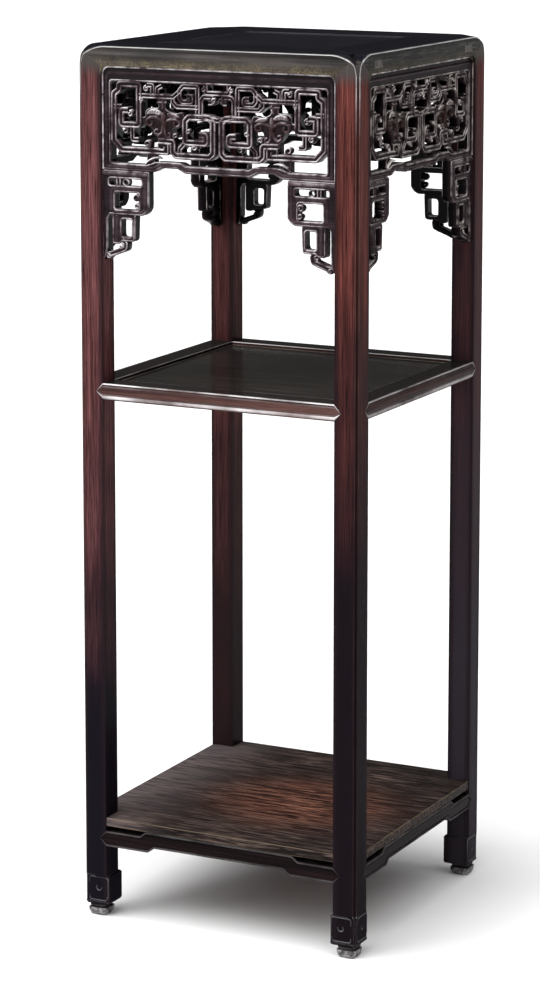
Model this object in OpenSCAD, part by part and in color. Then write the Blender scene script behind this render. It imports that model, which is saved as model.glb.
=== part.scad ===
// A square hardwood display stand: four legs on small pads, a framed top with rounded
// corners, pierced friezes with corner brackets, a framed middle shelf, and a low board
// carried on humped stretchers.
// Frame: millimetres, origin on the floor under the middle of the stand, +Z up, front at -Y.

/* [Overall] */
// Width and depth over the leg faces
stand_w = 350; // [340:5:400]
// Height from the floor to the top of the frame
stand_h = 1020; // [980:10:1100]
// Slack left around tenons, tongues and pegs
slack = 0.15; // [0.1:0.05:0.3]

/* [Legs] */
// Side of the square leg
leg_w = 28.5; // [27:0.5:32]
// Side of the square step along each leg's outer corner
leg_step = 3; // [2:0.5:4]
// Radius of the rounded upper corner, seen along the diagonal
corner_r = 25; // [20:1:28]

/* [Feet] */
// Height of the block at the bottom of a leg
block_h = 36; // [28:1:48]
// How far the block stands out on its two inner sides
block_out = 3; // [1:0.5:4]
// Radius of the block's lower edges
block_r = 4; // [2:0.5:5]
// Width of the square fret cut in the block's outer faces
fret_w = 2; // [1.5:0.25:2.5]
// Depth of that fret
fret_d = 1; // [0.5:0.25:1.5]
// How far the fret's outer turn lies in from the block's edges
fret_in = 5; // [4:0.25:6]
// Distance between the fret's turns
fret_step = 4.5; // [3.5:0.25:5]
// Height of the pad under a leg
pad_h = 14; // [11:1:20]
// Side of the square pad
pad_w = 24; // [22:0.5:26]
// Radius of the pad's lower edges
pad_r = 7; // [4:0.5:9]
// Diameter of the dowel on top of a pad
dowel_d = 10; // [8:0.5:12]
// Length of that dowel
dowel_len = 16; // [10:1:24]

/* [Top frame] */
// Height of a top rail
top_h = 22; // [20:0.5:26]
// Width of a top rail, seen from above
top_rail_w = 70; // [66:1:90]
// How far the panel lies below the rails
top_drop = 1; // [0.5:0.5:2]
// Thickness of the top panel
top_panel_t = 10; // [9:0.5:11]
// Radius of the ear under each end of a rail
ear_r = 10; // [6:1:12]
// Width of the through tenons of the front and back rails
through_w = 20; // [14:1:22]
// Thickness of those tenons
through_t = 8; // [5:0.5:8]
// How far in from the rail's outer face they start
through_in = 41; // [36:1:42]
// How far below the rail's upper face they start
through_drop = 8.5; // [6:0.5:9]
// Side of the square pegs on top of a leg
peg_w = 7; // [5:0.5:7]
// How far the pegs stop below the rail's upper face
peg_drop = 8; // [6:0.5:10]
// Wall left between a peg and the leg's inner face
peg_wall = 2.5; // [2:0.5:4]

/* [Frieze] */
// Height of a frieze below the top rail
frieze_h = 118; // [110:1:130]
// Thickness of friezes and brackets
frieze_t = 15; // [12:0.5:16]
// How far they lie behind the leg faces
frieze_in = 3; // [2:0.5:4]
// Width of the border along the legs
border_side = 11.5; // [10:0.5:13]
// Width of the border under the top rail
border_top = 17.5; // [16.5:0.5:19]
// Width of the main scroll bars
bar_w = 6.5; // [5.5:0.25:7]
// Width of the small scroll bars
small_bar_w = 5; // [4:0.25:5.5]

/* [Brackets] */
// Width of a bracket along the frieze
bracket_w = 60; // [52:1:68]
// Height of a bracket along the leg
bracket_h = 103.5; // [94:0.5:114]
// Diameter of the ring in the bracket's slot
ring_d = 9; // [8:0.5:9]

/* [Tongues] */
// Thickness of the tongues on friezes, brackets and panels
tongue_t = 5; // [4:0.5:5]
// Length of the tongues on friezes and brackets
tongue_d = 4; // [3:0.5:4]
// Length of the tongues on the panels
panel_tongue = 8; // [6:0.5:8]
// How far the panel tongues lie below the panel's upper face
panel_lip = 2; // [1.5:0.25:3]
// How far a bracket's upper tongue stops short of the bracket's ends
tongue_stop = 4; // [3:0.5:6]

/* [Middle shelf] */
// Height of the shelf rails' upper edge above the floor
shelf_z = 635; // [560:5:660]
// Height of a shelf rail
shelf_h = 19.5; // [19:0.5:24]
// How far the shelf panel lies below the rails
shelf_drop = 4; // [3:0.5:5]
// Thickness of the shelf panel
shelf_panel_t = 9; // [9:0.5:10]
// Height of the lip along a shelf rail's upper edge
lip_h = 1.5; // [1:0.25:2]
// Height and depth of the groove under that lip
quirk = 1.5; // [1:0.25:2]
// Height of the bead along the lower edge
bead_h = 3; // [2:0.25:4]
// Height of the step under the bead
under_h = 2; // [1:0.25:2.5]
// How far the rounded face swells out
swell = 1; // [0.5:0.1:1.2]

/* [Battens] */
// Width of the battens under the panels
batten_w = 24; // [18:1:32]
// Depth of the dovetail let into a panel
dovetail_d = 3; // [2:0.25:3]
// How far each side of the dovetail spreads
dovetail_out = 1; // [0.5:0.25:1.5]
// Length of a batten's tenons
batten_tenon = 8; // [6:0.5:10]
// How far the battens lie above the underside of their rails
batten_up = 0.5; // [0.25:0.25:1]
// How far the battens' tenons lie below the panel
batten_shoulder = 1; // [0.5:0.25:1.5]

/* [Low board] */
// Height of the board's upper face above the floor
board_z = 121; // [115:1:200]
// Thickness of the board
board_t = 10; // [8:0.5:14]
// How far the board's edges lie behind the leg faces
board_in = 1; // [0.5:0.5:3]
// How far the board is let into the legs
board_let = 3; // [2:0.5:4]
// Leg face left whole in front of that housing
board_stop = 6; // [4:0.5:8]
// How far the board's tongues in the legs lie below its upper face
board_lip = 3; // [2:0.5:4]

/* [Stretchers] */
// Height of a stretcher
stretcher_h = 18.5; // [17.5:0.5:22]
// Thickness of a stretcher
stretcher_t = 20; // [19.5:0.5:26]
// Rise of the hump
hump_rise = 6; // [4:0.5:8]
// Half the length of the hump's level upper edge
hump_half = 93; // [80:1:100]
// Length of the slope up to the hump
hump_run = 10; // [8:0.5:14]
// How much shorter the hump is at the lower edge
hump_back = 10; // [8:0.5:12]

/* [Rail tenons] */
// How far a pointed shoulder reaches onto the leg face
shoulder_len = 8; // [6:0.5:9]
// Thickness of the pointed shoulder
shoulder_t = 7; // [5:0.5:8]
// How far behind the shoulder the tenons lie
tenon_back = 1; // [0.5:0.5:2]
// Length of the rail tenons
tenon_len = 16; // [12:0.5:18]
// Thickness of the rail tenons
tenon_t = 10; // [8:0.5:10]
// Height of the rail tenons
tenon_h = 7.5; // [6:0.5:8]

/* [Hidden] */
$fn = 64;

half = stand_w / 2;
// How far a cut runs past the face that it starts from
over = 1;
inner = half - leg_w;
leg_mid = half - leg_w / 2;
top_z = stand_h - top_h;
frieze_z = top_z - frieze_h;
bracket_z = frieze_z - bracket_h;
tongue_y = -half + frieze_in + (frieze_t - tongue_t) / 2;
top_open = half - top_rail_w;
top_panel_z = stand_h - top_drop;
top_panel_low = top_panel_z - top_panel_t;
top_batten_low = top_z + batten_up;
shelf_w = leg_w;
shelf_panel_z = shelf_z - shelf_drop;
shelf_panel_low = shelf_panel_z - shelf_panel_t;
shelf_batten_low = shelf_z - shelf_h + batten_up;
board_low = board_z - board_t;
stretcher_top = board_low - hump_rise;
stretcher_low = stretcher_top - stretcher_h;
tenon_y = -half + shoulder_t + tenon_back;
block_w = leg_w + block_out;

// Lower border of a half frieze as drawn, from the centre, with a raised stretch in its length.
lower_points = [[-over, -118], [40, -118], [50, -113], [70, -113], [80, -118], [146.5, -118], [146.5, -110],
    [88, -110], [78, -106], [46, -106], [40, -109.5], [-over, -109.5]];
// Stepped edge of a bracket as drawn, from the leg and down from the frieze.
bracket_points = [[0, 0], [60, 0], [60, 45.5], [52.5, 52.5], [43.5, 52.5], [43.5, 80.5], [32.5, 80.5],
    [32.5, 96.5], [9.5, 96.5], [3, 103.5], [0, 103.5]];
// The drawings are as large as these edges, and stretch to the frieze and the bracket.
drawn_half = max([for (p = lower_points) p.x]);
drawn_h = -min([for (p = lower_points) p.y]);
drawn_bracket_w = max([for (p = bracket_points) p.x]);
drawn_bracket_h = max([for (p = bracket_points) p.y]);

wood_leg = [0.24, 0.13, 0.09];
wood_rail = [0.36, 0.20, 0.14];
wood_panel = [0.17, 0.11, 0.09];
wood_carving = [0.20, 0.12, 0.10];
wood_pad = [0.38, 0.34, 0.30];

module on_side(turn) {
    rotate([0, 0, 90 * turn]) children();
}

// Moves what stands at the front right corner to another corner.
module at_corner(to_left, to_back) {
    mirror([to_left, 0, 0]) mirror([0, to_back, 0]) children();
}

module both_ends() {
    children();
    mirror([1, 0, 0]) children();
}

// Stands a drawing up, facing the front, with its front face at y.
module upright(y, t) {
    translate([0, y + t, 0]) rotate([90, 0, 0]) linear_extrude(t) children();
}

// Points of a bar of one width along a path of points, with mitred bends.
function unit(v) = v / norm(v);
function across(v) = [-v.y, v.x];
function way_in(path, i) = unit(path[max(i, 1)] - path[max(i, 1) - 1]);
function way_out(path, i) = unit(path[min(i + 1, len(path) - 1)] - path[min(i, len(path) - 2)]);
function bend(path, i) = unit(across(way_in(path, i) + way_out(path, i)));
function reach(path, i) = 1 / (bend(path, i) * across(way_in(path, i)));
function edge(path, w) = [for (i = [0:len(path) - 1]) path[i] + bend(path, i) * reach(path, i) * w / 2];
function reversed(list) = [for (i = [len(list) - 1:-1:0]) list[i]];
function bar_outline(path, w) = concat(edge(path, w), reversed(edge(path, -w)));

// A drawing's points, stretched to the frieze or the bracket.
function on_frieze(points) = [for (p = points) [p.x * inner / drawn_half, p.y * frieze_h / drawn_h]];
function on_bracket(points) =
    [for (p = points) [-p.x * bracket_w / drawn_bracket_w, -p.y * bracket_h / drawn_bracket_h]];

module bar(path, w) {
    polygon(bar_outline(on_frieze(path), w));
}

module plate(points) {
    polygon(on_frieze(points));
}

// The part of a square corner that lies outside a quarter circle.
module corner_waste(r) {
    difference() {
        translate([-over, -over]) square(r + over);
        translate([r, r]) circle(r);
    }
}

// Rounds the upper corner of the stand across its diagonal and carries the leg's step over it.
module corner_cut() {
    groove = leg_step * sqrt(2);
    translate([half, -half, stand_h]) rotate([0, 0, 135]) {
        translate([0, corner_r + over, 0]) rotate([90, 0, 0]) linear_extrude(2 * (corner_r + over))
            mirror([0, 1]) corner_waste(corner_r);
        translate([corner_r, 0, -corner_r]) rotate([90, 0, 0]) rotate([0, 0, 90]) rotate_extrude(angle = 90)
            polygon([[corner_r - groove, 0], [corner_r + over, groove + over],
                [corner_r + over, -groove - over]]);
    }
}

// Pegs on a leg, one for each rail that it carries.
module pegs(gap) {
    near = leg_w - peg_wall - peg_w;
    for (turned = [0, 1])
        translate([half, -half, 0]) mirror([turned, turned, 0])
            translate([-near - peg_w - gap, near - peg_w - peg_wall - gap, top_z - over])
                cube([peg_w + 2 * gap, peg_w + 2 * gap, top_h - peg_drop + over + gap]);
}

// Wedge above the mitre between a leg and the rail along the front.
module leg_mitre() {
    upright(-half - over, leg_w + 2 * over)
        polygon([[half, stand_h], [inner, top_z], [inner - over, top_z], [inner - over, stand_h + over],
            [half, stand_h + over]]);
}

// Tenons of a rail in the front right leg; upper or lower half, so that two rails cross in one leg.
module rail_tenon(low, h, lower, gap) {
    translate([inner - over, tenon_y - gap, low + (lower ? h / 2 - tenon_h : h / 2) - gap])
        cube([tenon_len + over + gap, tenon_t + 2 * gap, tenon_h + 2 * gap]);
}

// Pointed shoulder that laps onto the leg face, or its recess, which starts in front of that face.
module rail_shoulder(low, h, ahead) {
    upright(-half - ahead, shoulder_t + ahead)
        polygon([[inner - over, low], [inner, low], [inner + shoulder_len, low + h / 2], [inner, low + h],
            [inner - over, low + h]]);
}

module rail_mortises(low, h) {
    rail_tenon(low, h, false, slack);
    rail_shoulder(low, h, over);
    mirror([1, 1, 0]) {
        rail_tenon(low, h, true, slack);
        rail_shoulder(low, h, over);
    }
}

// Housing in a leg for the low board's corner.
module board_housing() {
    for (turned = [0, 1]) mirror([turned, turned, 0])
        translate([inner - over, -half + board_stop - slack, board_low])
            cube([board_let + over + slack, leg_w - board_stop + slack + over, board_t - board_lip + slack]);
}

// Groove in a leg for the tongues of the frieze and bracket beside it.
module leg_groove() {
    translate([inner - over, tongue_y - slack, bracket_z - slack])
        cube([tongue_d + over + slack, tongue_t + 2 * slack, top_z - bracket_z - ear_r + 2 * slack]);
}

module foot_block_section() {
    difference() {
        translate([inner - block_out, pad_h]) square([block_w, block_h]);
        translate([inner - block_out, pad_h]) corner_waste(block_r);
        translate([half, pad_h]) mirror([1, 0]) corner_waste(block_r);
        translate([inner - block_out, pad_h + block_h]) mirror([0, 1]) corner_waste(block_out);
    }
}

// Square spiral cut in a foot block's front face, from its top down and in to its middle.
module foot_fret() {
    far = block_w - leg_step - fret_step;
    high = block_h - fret_in;
    path = [[far - fret_step, block_h + over], [far - fret_step, high], [far, high - fret_step],
        [far, fret_in], [fret_in, fret_in], [fret_in, high - fret_step],
        [far - 2 * fret_step, high - fret_step], [far - 2 * fret_step, fret_in + 2 * fret_step],
        [fret_in + fret_step, fret_in + 2 * fret_step],
        [fret_in + fret_step, fret_in + 2.5 * fret_step]];
    upright(-half - over, fret_d + over)
        translate([inner - block_out, pad_h]) polygon(bar_outline(path, fret_w));
}

module leg() {
    color(wood_leg) {
        difference() {
            union() {
                translate([inner, -half, pad_h + block_r]) cube([leg_w, leg_w, stand_h - pad_h - block_r]);
                intersection() {
                    upright(-half - over, block_w + 2 * over) foot_block_section();
                    mirror([1, 1, 0]) upright(-half - over, block_w + 2 * over) foot_block_section();
                }
            }
            leg_mitre();
            mirror([1, 1, 0]) leg_mitre();
            corner_cut();
            translate([half - leg_step, -half - over, pad_h - over])
                cube([leg_step + over, leg_step + over, stand_h - corner_r - pad_h + 2 * over]);
            foot_fret();
            mirror([1, 1, 0]) foot_fret();
            rail_mortises(shelf_z - shelf_h, shelf_h);
            rail_mortises(stretcher_low, stretcher_h);
            board_housing();
            leg_groove();
            mirror([1, 1, 0]) leg_groove();
            translate([leg_mid, -leg_mid, pad_h - over])
                cylinder(d = dowel_d + 2 * slack, h = dowel_len + over + slack);
        }
        pegs(0);
    }
}

module foot_pad() {
    color(wood_pad) translate([leg_mid, -leg_mid, 0]) {
        intersection() {
            rotate([90, 0, 0]) linear_extrude(pad_w, center = true) pad_section();
            rotate([90, 0, 90]) linear_extrude(pad_w, center = true) pad_section();
        }
        translate([0, 0, pad_h - over]) cylinder(d = dowel_d, h = dowel_len + over);
    }
}

module pad_section() {
    difference() {
        translate([-pad_w / 2, 0]) square([pad_w, pad_h]);
        translate([-pad_w / 2, 0]) corner_waste(pad_r);
        translate([pad_w / 2, 0]) mirror([1, 0]) corner_waste(pad_r);
    }
}

// Through tenon of the front rail, in the rail at its right, or its mortise, which runs past the face.
module through_tenon(gap, past) {
    root = through_in + through_w + over;
    translate([half - root, -half + through_in - gap, stand_h - through_drop - through_t - gap])
        cube([root + past, through_w + 2 * gap, through_t + 2 * gap]);
}

// Wedges taken off a front rail's right end for the leg and for the rail around the corner.
module rail_mitre() {
    upright(-half - over, leg_w + 2 * over)
        polygon([[half, stand_h], [half + over, stand_h], [half + over, top_z - over], [inner, top_z - over],
            [inner, top_z]]);
    translate([0, 0, top_z - over]) linear_extrude(top_h + 2 * over)
        polygon([[half + over, -half - over], [half + over, -top_open + over],
            [top_open - over, -top_open + over]]);
}

// Groove along the inner face of a rail for a panel's tongue.
module panel_groove(open, upper) {
    translate([-half, -open - panel_tongue - slack, upper - panel_lip - tongue_t - slack])
        cube([stand_w, panel_tongue + slack + over, tongue_t + 2 * slack]);
}

// Mortise for a batten's tenon in a front rail's inner face.
module batten_mortise(open, low, upper) {
    translate([-batten_w / 2 - slack, -open - batten_tenon - slack, low - slack])
        cube([batten_w + 2 * slack, batten_tenon + slack + over, upper - low + 2 * slack]);
}

module top_rail(tenoned) {
    color(wood_rail) difference() {
        union() {
            difference() {
                translate([-half, -half, top_z]) cube([stand_w, top_rail_w, top_h]);
                both_ends() rail_mitre();
            }
            both_ends() upright(-half, frieze_in + frieze_t)
                translate([inner, top_z]) mirror([1, 1]) intersection() {
                    corner_waste(ear_r);
                    square(ear_r);
                }
            if (tenoned) both_ends() through_tenon(0, 0);
        }
        both_ends() corner_cut();
        if (!tenoned) both_ends() mirror([1, 1, 0]) through_tenon(slack, over);
        both_ends() pegs(slack);
        panel_groove(top_open, top_panel_z);
        if (tenoned) batten_mortise(top_open, top_batten_low, top_panel_low - batten_shoulder);
        translate([-inner + ear_r, tongue_y - slack, top_z - over])
            cube([2 * (inner - ear_r), tongue_t + 2 * slack, tongue_d + over + slack]);
    }
}

// Panel with tongues on its four edges and a dovetailed slot across its underside.
module framed_panel(open, upper, t, low) {
    difference() {
        union() {
            translate([-open, -open, low]) cube([2 * open, 2 * open, t]);
            for (turn = [0, 1]) on_side(turn)
                translate([-open, -open - panel_tongue, upper - panel_lip - tongue_t])
                    cube([2 * open, 2 * (open + panel_tongue), tongue_t]);
        }
        batten_key(open + over, low);
    }
}

// Dovetail of a batten, in a slot across the underside of a panel.
module batten_key(to_end, low) {
    wide = batten_w / 2;
    neck = wide - dovetail_out;
    upright(-to_end, 2 * to_end)
        polygon([[-neck, low - over], [neck, low - over], [neck, low], [wide, low + dovetail_d],
            [-wide, low + dovetail_d], [-neck, low]]);
}

module batten(open, low, panel_low) {
    batten_key(open, panel_low);
    translate([-batten_w / 2, -open, low]) cube([batten_w, 2 * open, panel_low - low]);
    translate([-batten_w / 2, -open - batten_tenon, low])
        cube([batten_w, 2 * (open + batten_tenon), panel_low - batten_shoulder - low]);
}

module top_panel() {
    color(wood_panel) framed_panel(top_open, top_panel_z, top_panel_t, top_panel_low);
}

module top_batten() {
    color(wood_rail) batten(top_open, top_batten_low, top_panel_low);
}

module shelf_panel() {
    color(wood_panel) framed_panel(inner, shelf_panel_z, shelf_panel_t, shelf_panel_low);
}

module shelf_batten() {
    color(wood_rail) batten(inner, shelf_batten_low, shelf_panel_low);
}

// One half of the scrollwork, from the centre of the frieze to its right end.
module scroll_half() {
    // Large eight-sided spiral beside the centre
    bar([[23, -74], [14.5, -74], [14.5, -83], [40.4, -83], [40.4, -59], [36, -54.5], [10, -54.5], [5.5, -59],
        [5.5, -94], [10, -98.3], [52, -98.3], [56, -94.5], [56, -83], [64, -83]], bar_w);
    bar([[40.4, -83], [47.5, -90.5], [47.5, -98.3]], small_bar_w);
    // Small eight-sided spiral above it
    bar([[39, -31.5], [33, -31.5], [33, -37.8], [44, -37.8], [47.5, -34], [47.5, -25], [43, -20.3],
        [25, -20.3], [25, -54.5]], small_bar_w);
    bar([[25, -43.3], [51, -43.3], [56, -38.5], [56, -33]], small_bar_w);
    // Loop under the centre of the border
    bar([[11.5, -37.5], [7, -37.5], [7, -31], [17, -31], [20.5, -35], [20.5, -54]], small_bar_w);
    bar([[0, -57], [20.5, -52]], small_bar_w);
    bar([[0, -26.8], [14.5, -26.8], [14.5, -15]], small_bar_w);
    // Tall stepped loop beside the leg
    bar([[113, -50], [121.5, -50], [121.5, -66], [99, -66], [99, -20.5], [124.5, -20.5], [124.5, -27],
        [131, -31.5], [131, -84], [121, -94.3], [72, -94.3]], bar_w);
    bar([[121.5, -46], [131, -46]], small_bar_w);
    bar([[107.5, -66], [107.5, -82.5], [100, -82.5]], small_bar_w);
    // Hooks along the upper edge
    bar([[88.5, -20.5], [82, -20.5], [82, -32.7]], small_bar_w);
    bar([[70, -21], [76, -24], [76, -32.7]], small_bar_w);
    bar([[99, -32.7], [56, -32.7], [47.5, -26]], small_bar_w);
    // Bat with spread wings, its stem and the square block under it
    plate([[66, -32], [66, -48.5], [62, -50.5], [58, -54], [51, -53], [46, -49], [42, -52], [42, -60],
        [50, -63.5], [57, -64], [56, -70], [60, -73], [62, -84], [61, -98], [75, -98], [75, -84], [77, -77],
        [82, -71], [84, -64], [97, -63], [97, -57], [90, -56], [92, -50], [90, -47], [84, -48.5], [82, -53],
        [75, -49], [75, -32]]);
    // Scroll that stands on the lower border
    plate([[80, -93], [90, -93], [90, -112], [80, -108]]);
}

module frieze_outline() {
    difference() {
        translate([-inner, -frieze_h]) square([2 * inner, frieze_h]);
        translate([-inner + border_side, -frieze_h - over])
            square([2 * (inner - border_side), frieze_h + over - border_top]);
        both_ends() translate([inner, 0]) mirror([1, 1]) corner_waste(ear_r);
    }
    both_ends() {
        plate(lower_points);
        scroll_half();
    }
}

// Tongue along a bracket's upper edge, in the underside of the frieze.
module bracket_tongue(gap) {
    translate([inner - bracket_w + tongue_stop - gap, tongue_y - gap, frieze_z - over])
        cube([bracket_w - 2 * (tongue_stop - gap), tongue_t + 2 * gap, tongue_d + over + gap]);
}

module frieze() {
    color(wood_carving) difference() {
        union() {
            upright(-half + frieze_in, frieze_t) translate([0, top_z]) frieze_outline();
            translate([-inner - tongue_d, tongue_y, frieze_z])
                cube([tongue_d + over, tongue_t, frieze_h - ear_r]);
            translate([inner - over, tongue_y, frieze_z])
                cube([tongue_d + over, tongue_t, frieze_h - ear_r]);
            translate([-inner + ear_r + slack, tongue_y, top_z - over])
                cube([2 * (inner - ear_r - slack), tongue_t, tongue_d + over]);
        }
        both_ends() bracket_tongue(slack);
    }
}

// Opening in a bracket, from its distance to the leg and its depth below the frieze.
module opening(from, to) {
    ends = on_bracket([from, to]);
    translate(ends[1]) square(ends[0] - ends[1]);
}

// Stepped bracket with pierced loops, drawn leftwards and down from its corner at the leg.
module bracket_outline() {
    difference() {
        polygon(on_bracket(bracket_points));
        opening([12.5, 10], [52.5, 17]);
        opening([18.5, 25], [48.5, 45.5]);
        opening([25, 56], [38, 74.5]);
        opening([9.5, 49.5], [20.5, 87.5]);
        opening([20, 80.5], [27.5, 87.5]);
    }
    opening([41, 29.5], [49, 33.5]);
    translate(on_bracket([[32.5, 15]])[0]) difference() {
        circle(d = ring_d);
        circle(d = ring_d / 2);
    }
}

module bracket() {
    color(wood_carving) {
        upright(-half + frieze_in, frieze_t) translate([inner, frieze_z]) bracket_outline();
        translate([inner - over, tongue_y, bracket_z]) cube([tongue_d + over, tongue_t, bracket_h]);
        bracket_tongue(0);
    }
}

// Section of a shelf rail: lip, groove, rounded face, bead and step, then the plain back.
module shelf_rail_section() {
    face_h = shelf_h - lip_h - quirk - bead_h - under_h;
    face_r = (pow(face_h / 2, 2) + pow(swell, 2)) / (2 * swell);
    translate([quirk, -shelf_h]) square([shelf_w - quirk, shelf_h]);
    translate([0, -lip_h]) square([shelf_w / 2, lip_h]);
    intersection() {
        translate([face_r, -lip_h - quirk - face_h / 2]) circle(face_r);
        translate([0, -lip_h - quirk - face_h]) square([shelf_w / 2, face_h]);
    }
    translate([bead_h / 2, -shelf_h + under_h + bead_h / 2]) circle(d = bead_h);
}

module shelf_rail(lower) {
    low = shelf_z - shelf_h;
    color(wood_rail) difference() {
        union() {
            translate([-inner, -half, shelf_z]) rotate([90, 0, 90]) linear_extrude(2 * inner)
                shelf_rail_section();
            both_ends() {
                rail_tenon(low, shelf_h, lower, 0);
                rail_shoulder(low, shelf_h, 0);
            }
        }
        panel_groove(inner, shelf_panel_z);
        if (!lower) batten_mortise(inner, shelf_batten_low, shelf_panel_low - batten_shoulder);
    }
}

// Board over the stretchers, cut out round the legs, with low tongues in the legs' housings.
module low_board() {
    reach_out = half - board_in;
    housed = inner + board_let;
    stop = half - board_stop;
    color(wood_panel) translate([0, 0, board_low]) {
        linear_extrude(board_t) {
            square([2 * reach_out, 2 * inner], center = true);
            square([2 * inner, 2 * reach_out], center = true);
        }
        linear_extrude(board_t - board_lip) {
            square([2 * stop, 2 * housed], center = true);
            square([2 * housed, 2 * stop], center = true);
        }
    }
}

module stretcher_outline() {
    low_half = hump_half - hump_back;
    polygon([[-inner, 0], [-low_half - hump_run, 0], [-low_half, hump_rise], [low_half, hump_rise],
        [low_half + hump_run, 0], [inner, 0], [inner, stretcher_h], [hump_half + hump_run, stretcher_h],
        [hump_half, stretcher_h + hump_rise], [-hump_half, stretcher_h + hump_rise],
        [-hump_half - hump_run, stretcher_h], [-inner, stretcher_h]]);
}

module stretcher(lower) {
    color(wood_rail) {
        upright(-half, stretcher_t) translate([0, stretcher_low]) stretcher_outline();
        both_ends() {
            rail_tenon(stretcher_low, stretcher_h, lower, 0);
            rail_shoulder(stretcher_low, stretcher_h, 0);
        }
    }
}

at_corner(1, 0) leg();  // leg_front_left
at_corner(0, 0) leg();  // leg_front_right
at_corner(1, 1) leg();  // leg_back_left
at_corner(0, 1) leg();  // leg_back_right
at_corner(1, 0) foot_pad();  // foot_pad_front_left
at_corner(0, 0) foot_pad();  // foot_pad_front_right
at_corner(1, 1) foot_pad();  // foot_pad_back_left
at_corner(0, 1) foot_pad();  // foot_pad_back_right
on_side(0) top_rail(true);  // top_rail_front
on_side(2) top_rail(true);  // top_rail_back
on_side(3) top_rail(false);  // top_rail_left
on_side(1) top_rail(false);  // top_rail_right
top_panel();
top_batten();
on_side(0) frieze();  // frieze_front
on_side(2) frieze();  // frieze_back
on_side(3) frieze();  // frieze_left
on_side(1) frieze();  // frieze_right
on_side(0) mirror([1, 0, 0]) bracket();  // bracket_front_left
on_side(0) bracket();  // bracket_front_right
on_side(2) bracket();  // bracket_back_left
on_side(2) mirror([1, 0, 0]) bracket();  // bracket_back_right
on_side(3) bracket();  // bracket_left_front
on_side(3) mirror([1, 0, 0]) bracket();  // bracket_left_back
on_side(1) mirror([1, 0, 0]) bracket();  // bracket_right_front
on_side(1) bracket();  // bracket_right_back
on_side(0) shelf_rail(false);  // shelf_rail_front
on_side(2) shelf_rail(false);  // shelf_rail_back
on_side(3) shelf_rail(true);  // shelf_rail_left
on_side(1) shelf_rail(true);  // shelf_rail_right
shelf_panel();
shelf_batten();
low_board();
on_side(0) stretcher(false);  // stretcher_front
on_side(2) stretcher(false);  // stretcher_back
on_side(3) stretcher(true);  // stretcher_left
on_side(1) stretcher(true);  // stretcher_right
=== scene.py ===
import math

import bmesh
import bpy
from mathutils import Matrix, Vector


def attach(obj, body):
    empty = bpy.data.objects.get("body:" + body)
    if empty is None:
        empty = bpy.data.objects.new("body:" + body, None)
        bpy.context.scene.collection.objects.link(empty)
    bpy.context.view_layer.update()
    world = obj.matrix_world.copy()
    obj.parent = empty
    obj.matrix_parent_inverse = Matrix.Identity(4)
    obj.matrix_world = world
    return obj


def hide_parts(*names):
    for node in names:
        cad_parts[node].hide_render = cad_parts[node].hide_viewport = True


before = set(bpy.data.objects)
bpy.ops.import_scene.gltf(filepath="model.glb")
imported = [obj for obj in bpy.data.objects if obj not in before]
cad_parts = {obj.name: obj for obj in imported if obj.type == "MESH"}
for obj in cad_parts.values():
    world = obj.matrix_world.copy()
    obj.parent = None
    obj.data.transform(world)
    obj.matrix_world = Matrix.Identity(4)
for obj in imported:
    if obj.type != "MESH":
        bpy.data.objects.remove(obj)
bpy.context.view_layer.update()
mm = 0.001  # drawings are in millimetres, the scene in metres

# the stand's main sizes, as in its solids
stand = {
    "half": 175.0,  # of the width and of the depth
    "top": 1020.0,
    "inner": 146.5,  # from the centre to a leg's inner face
    "railUnder": 998.0,
    "friezeFace": -172.0,
    "friezeHeight": 118.0,
}
sides = ["front", "right", "back", "left"]
corners = {"front_left": (-1, -1), "front_right": (1, -1), "back_left": (-1, 1), "back_right": (1, 1)}


def addObject(name, data):
    thing = bpy.data.objects.new(name, data)
    bpy.context.scene.collection.objects.link(thing)
    return thing


def dressPiece(piece, node, finish):
    piece.data.materials.clear()
    piece.data.materials.append(finish)
    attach(piece, "root")
    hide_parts(node)


def setWearGlint(mesh, values):
    # one number a face: 1 where an edge is worn and carries a painted highlight; below nought a painted shade
    layer = mesh.attributes.get("wearGlint") or mesh.attributes.new("wearGlint", "FLOAT", "FACE")
    layer.data.foreach_set("value", values)


def setRuddy(mesh, amount):
    layer = mesh.attributes.get("ruddy") or mesh.attributes.new("ruddy", "FLOAT", "FACE")
    layer.data.foreach_set("value", [amount] * len(mesh.polygons))


def joinMeshes(name, parts):
    # parts are (mesh, matrix); their wear and painted light values go along
    joined = bmesh.new()
    for mesh, place in parts:
        copy = mesh.copy()
        copy.transform(place)
        if place.determinant() < 0:
            copy.flip_normals()
        joined.from_mesh(copy)
        bpy.data.meshes.remove(copy)
    mesh = bpy.data.meshes.new(name)
    joined.to_mesh(mesh)
    joined.free()
    return mesh


def turned(side):
    return Matrix.Rotation(math.radians(90 * sides.index(side)), 4, "Z")


mirrorX = Matrix.Scale(-1, 4, (1, 0, 0))
# stands a drawing up: its x runs along the side, its y up, its z out of the face
uprightFace = Matrix.Translation((0, stand["friezeFace"] * mm, stand["railUnder"] * mm)) @ Matrix.Rotation(
    math.radians(90), 4, "X")


def link(tree, source, target):
    tree.links.new(source, target)


def addNode(tree, kind, **values):
    node = tree.nodes.new(kind)
    for key, value in values.items():
        setattr(node, key, value)
    return node


def addNoise(tree, coords, scale, detail, rough=0.55, twist=0.0):
    noise = addNode(tree, "ShaderNodeTexNoise")
    noise.inputs["Scale"].default_value = scale
    noise.inputs["Detail"].default_value = detail
    noise.inputs["Roughness"].default_value = rough
    noise.inputs["Distortion"].default_value = twist
    link(tree, coords, noise.inputs["Vector"])
    return noise.outputs["Fac"]


def addMapping(tree, coords, scale, shift=(0, 0, 0)):
    mapping = addNode(tree, "ShaderNodeMapping")
    mapping.inputs["Scale"].default_value = scale
    mapping.inputs["Location"].default_value = shift
    link(tree, coords, mapping.inputs["Vector"])
    return mapping.outputs["Vector"]


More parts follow.
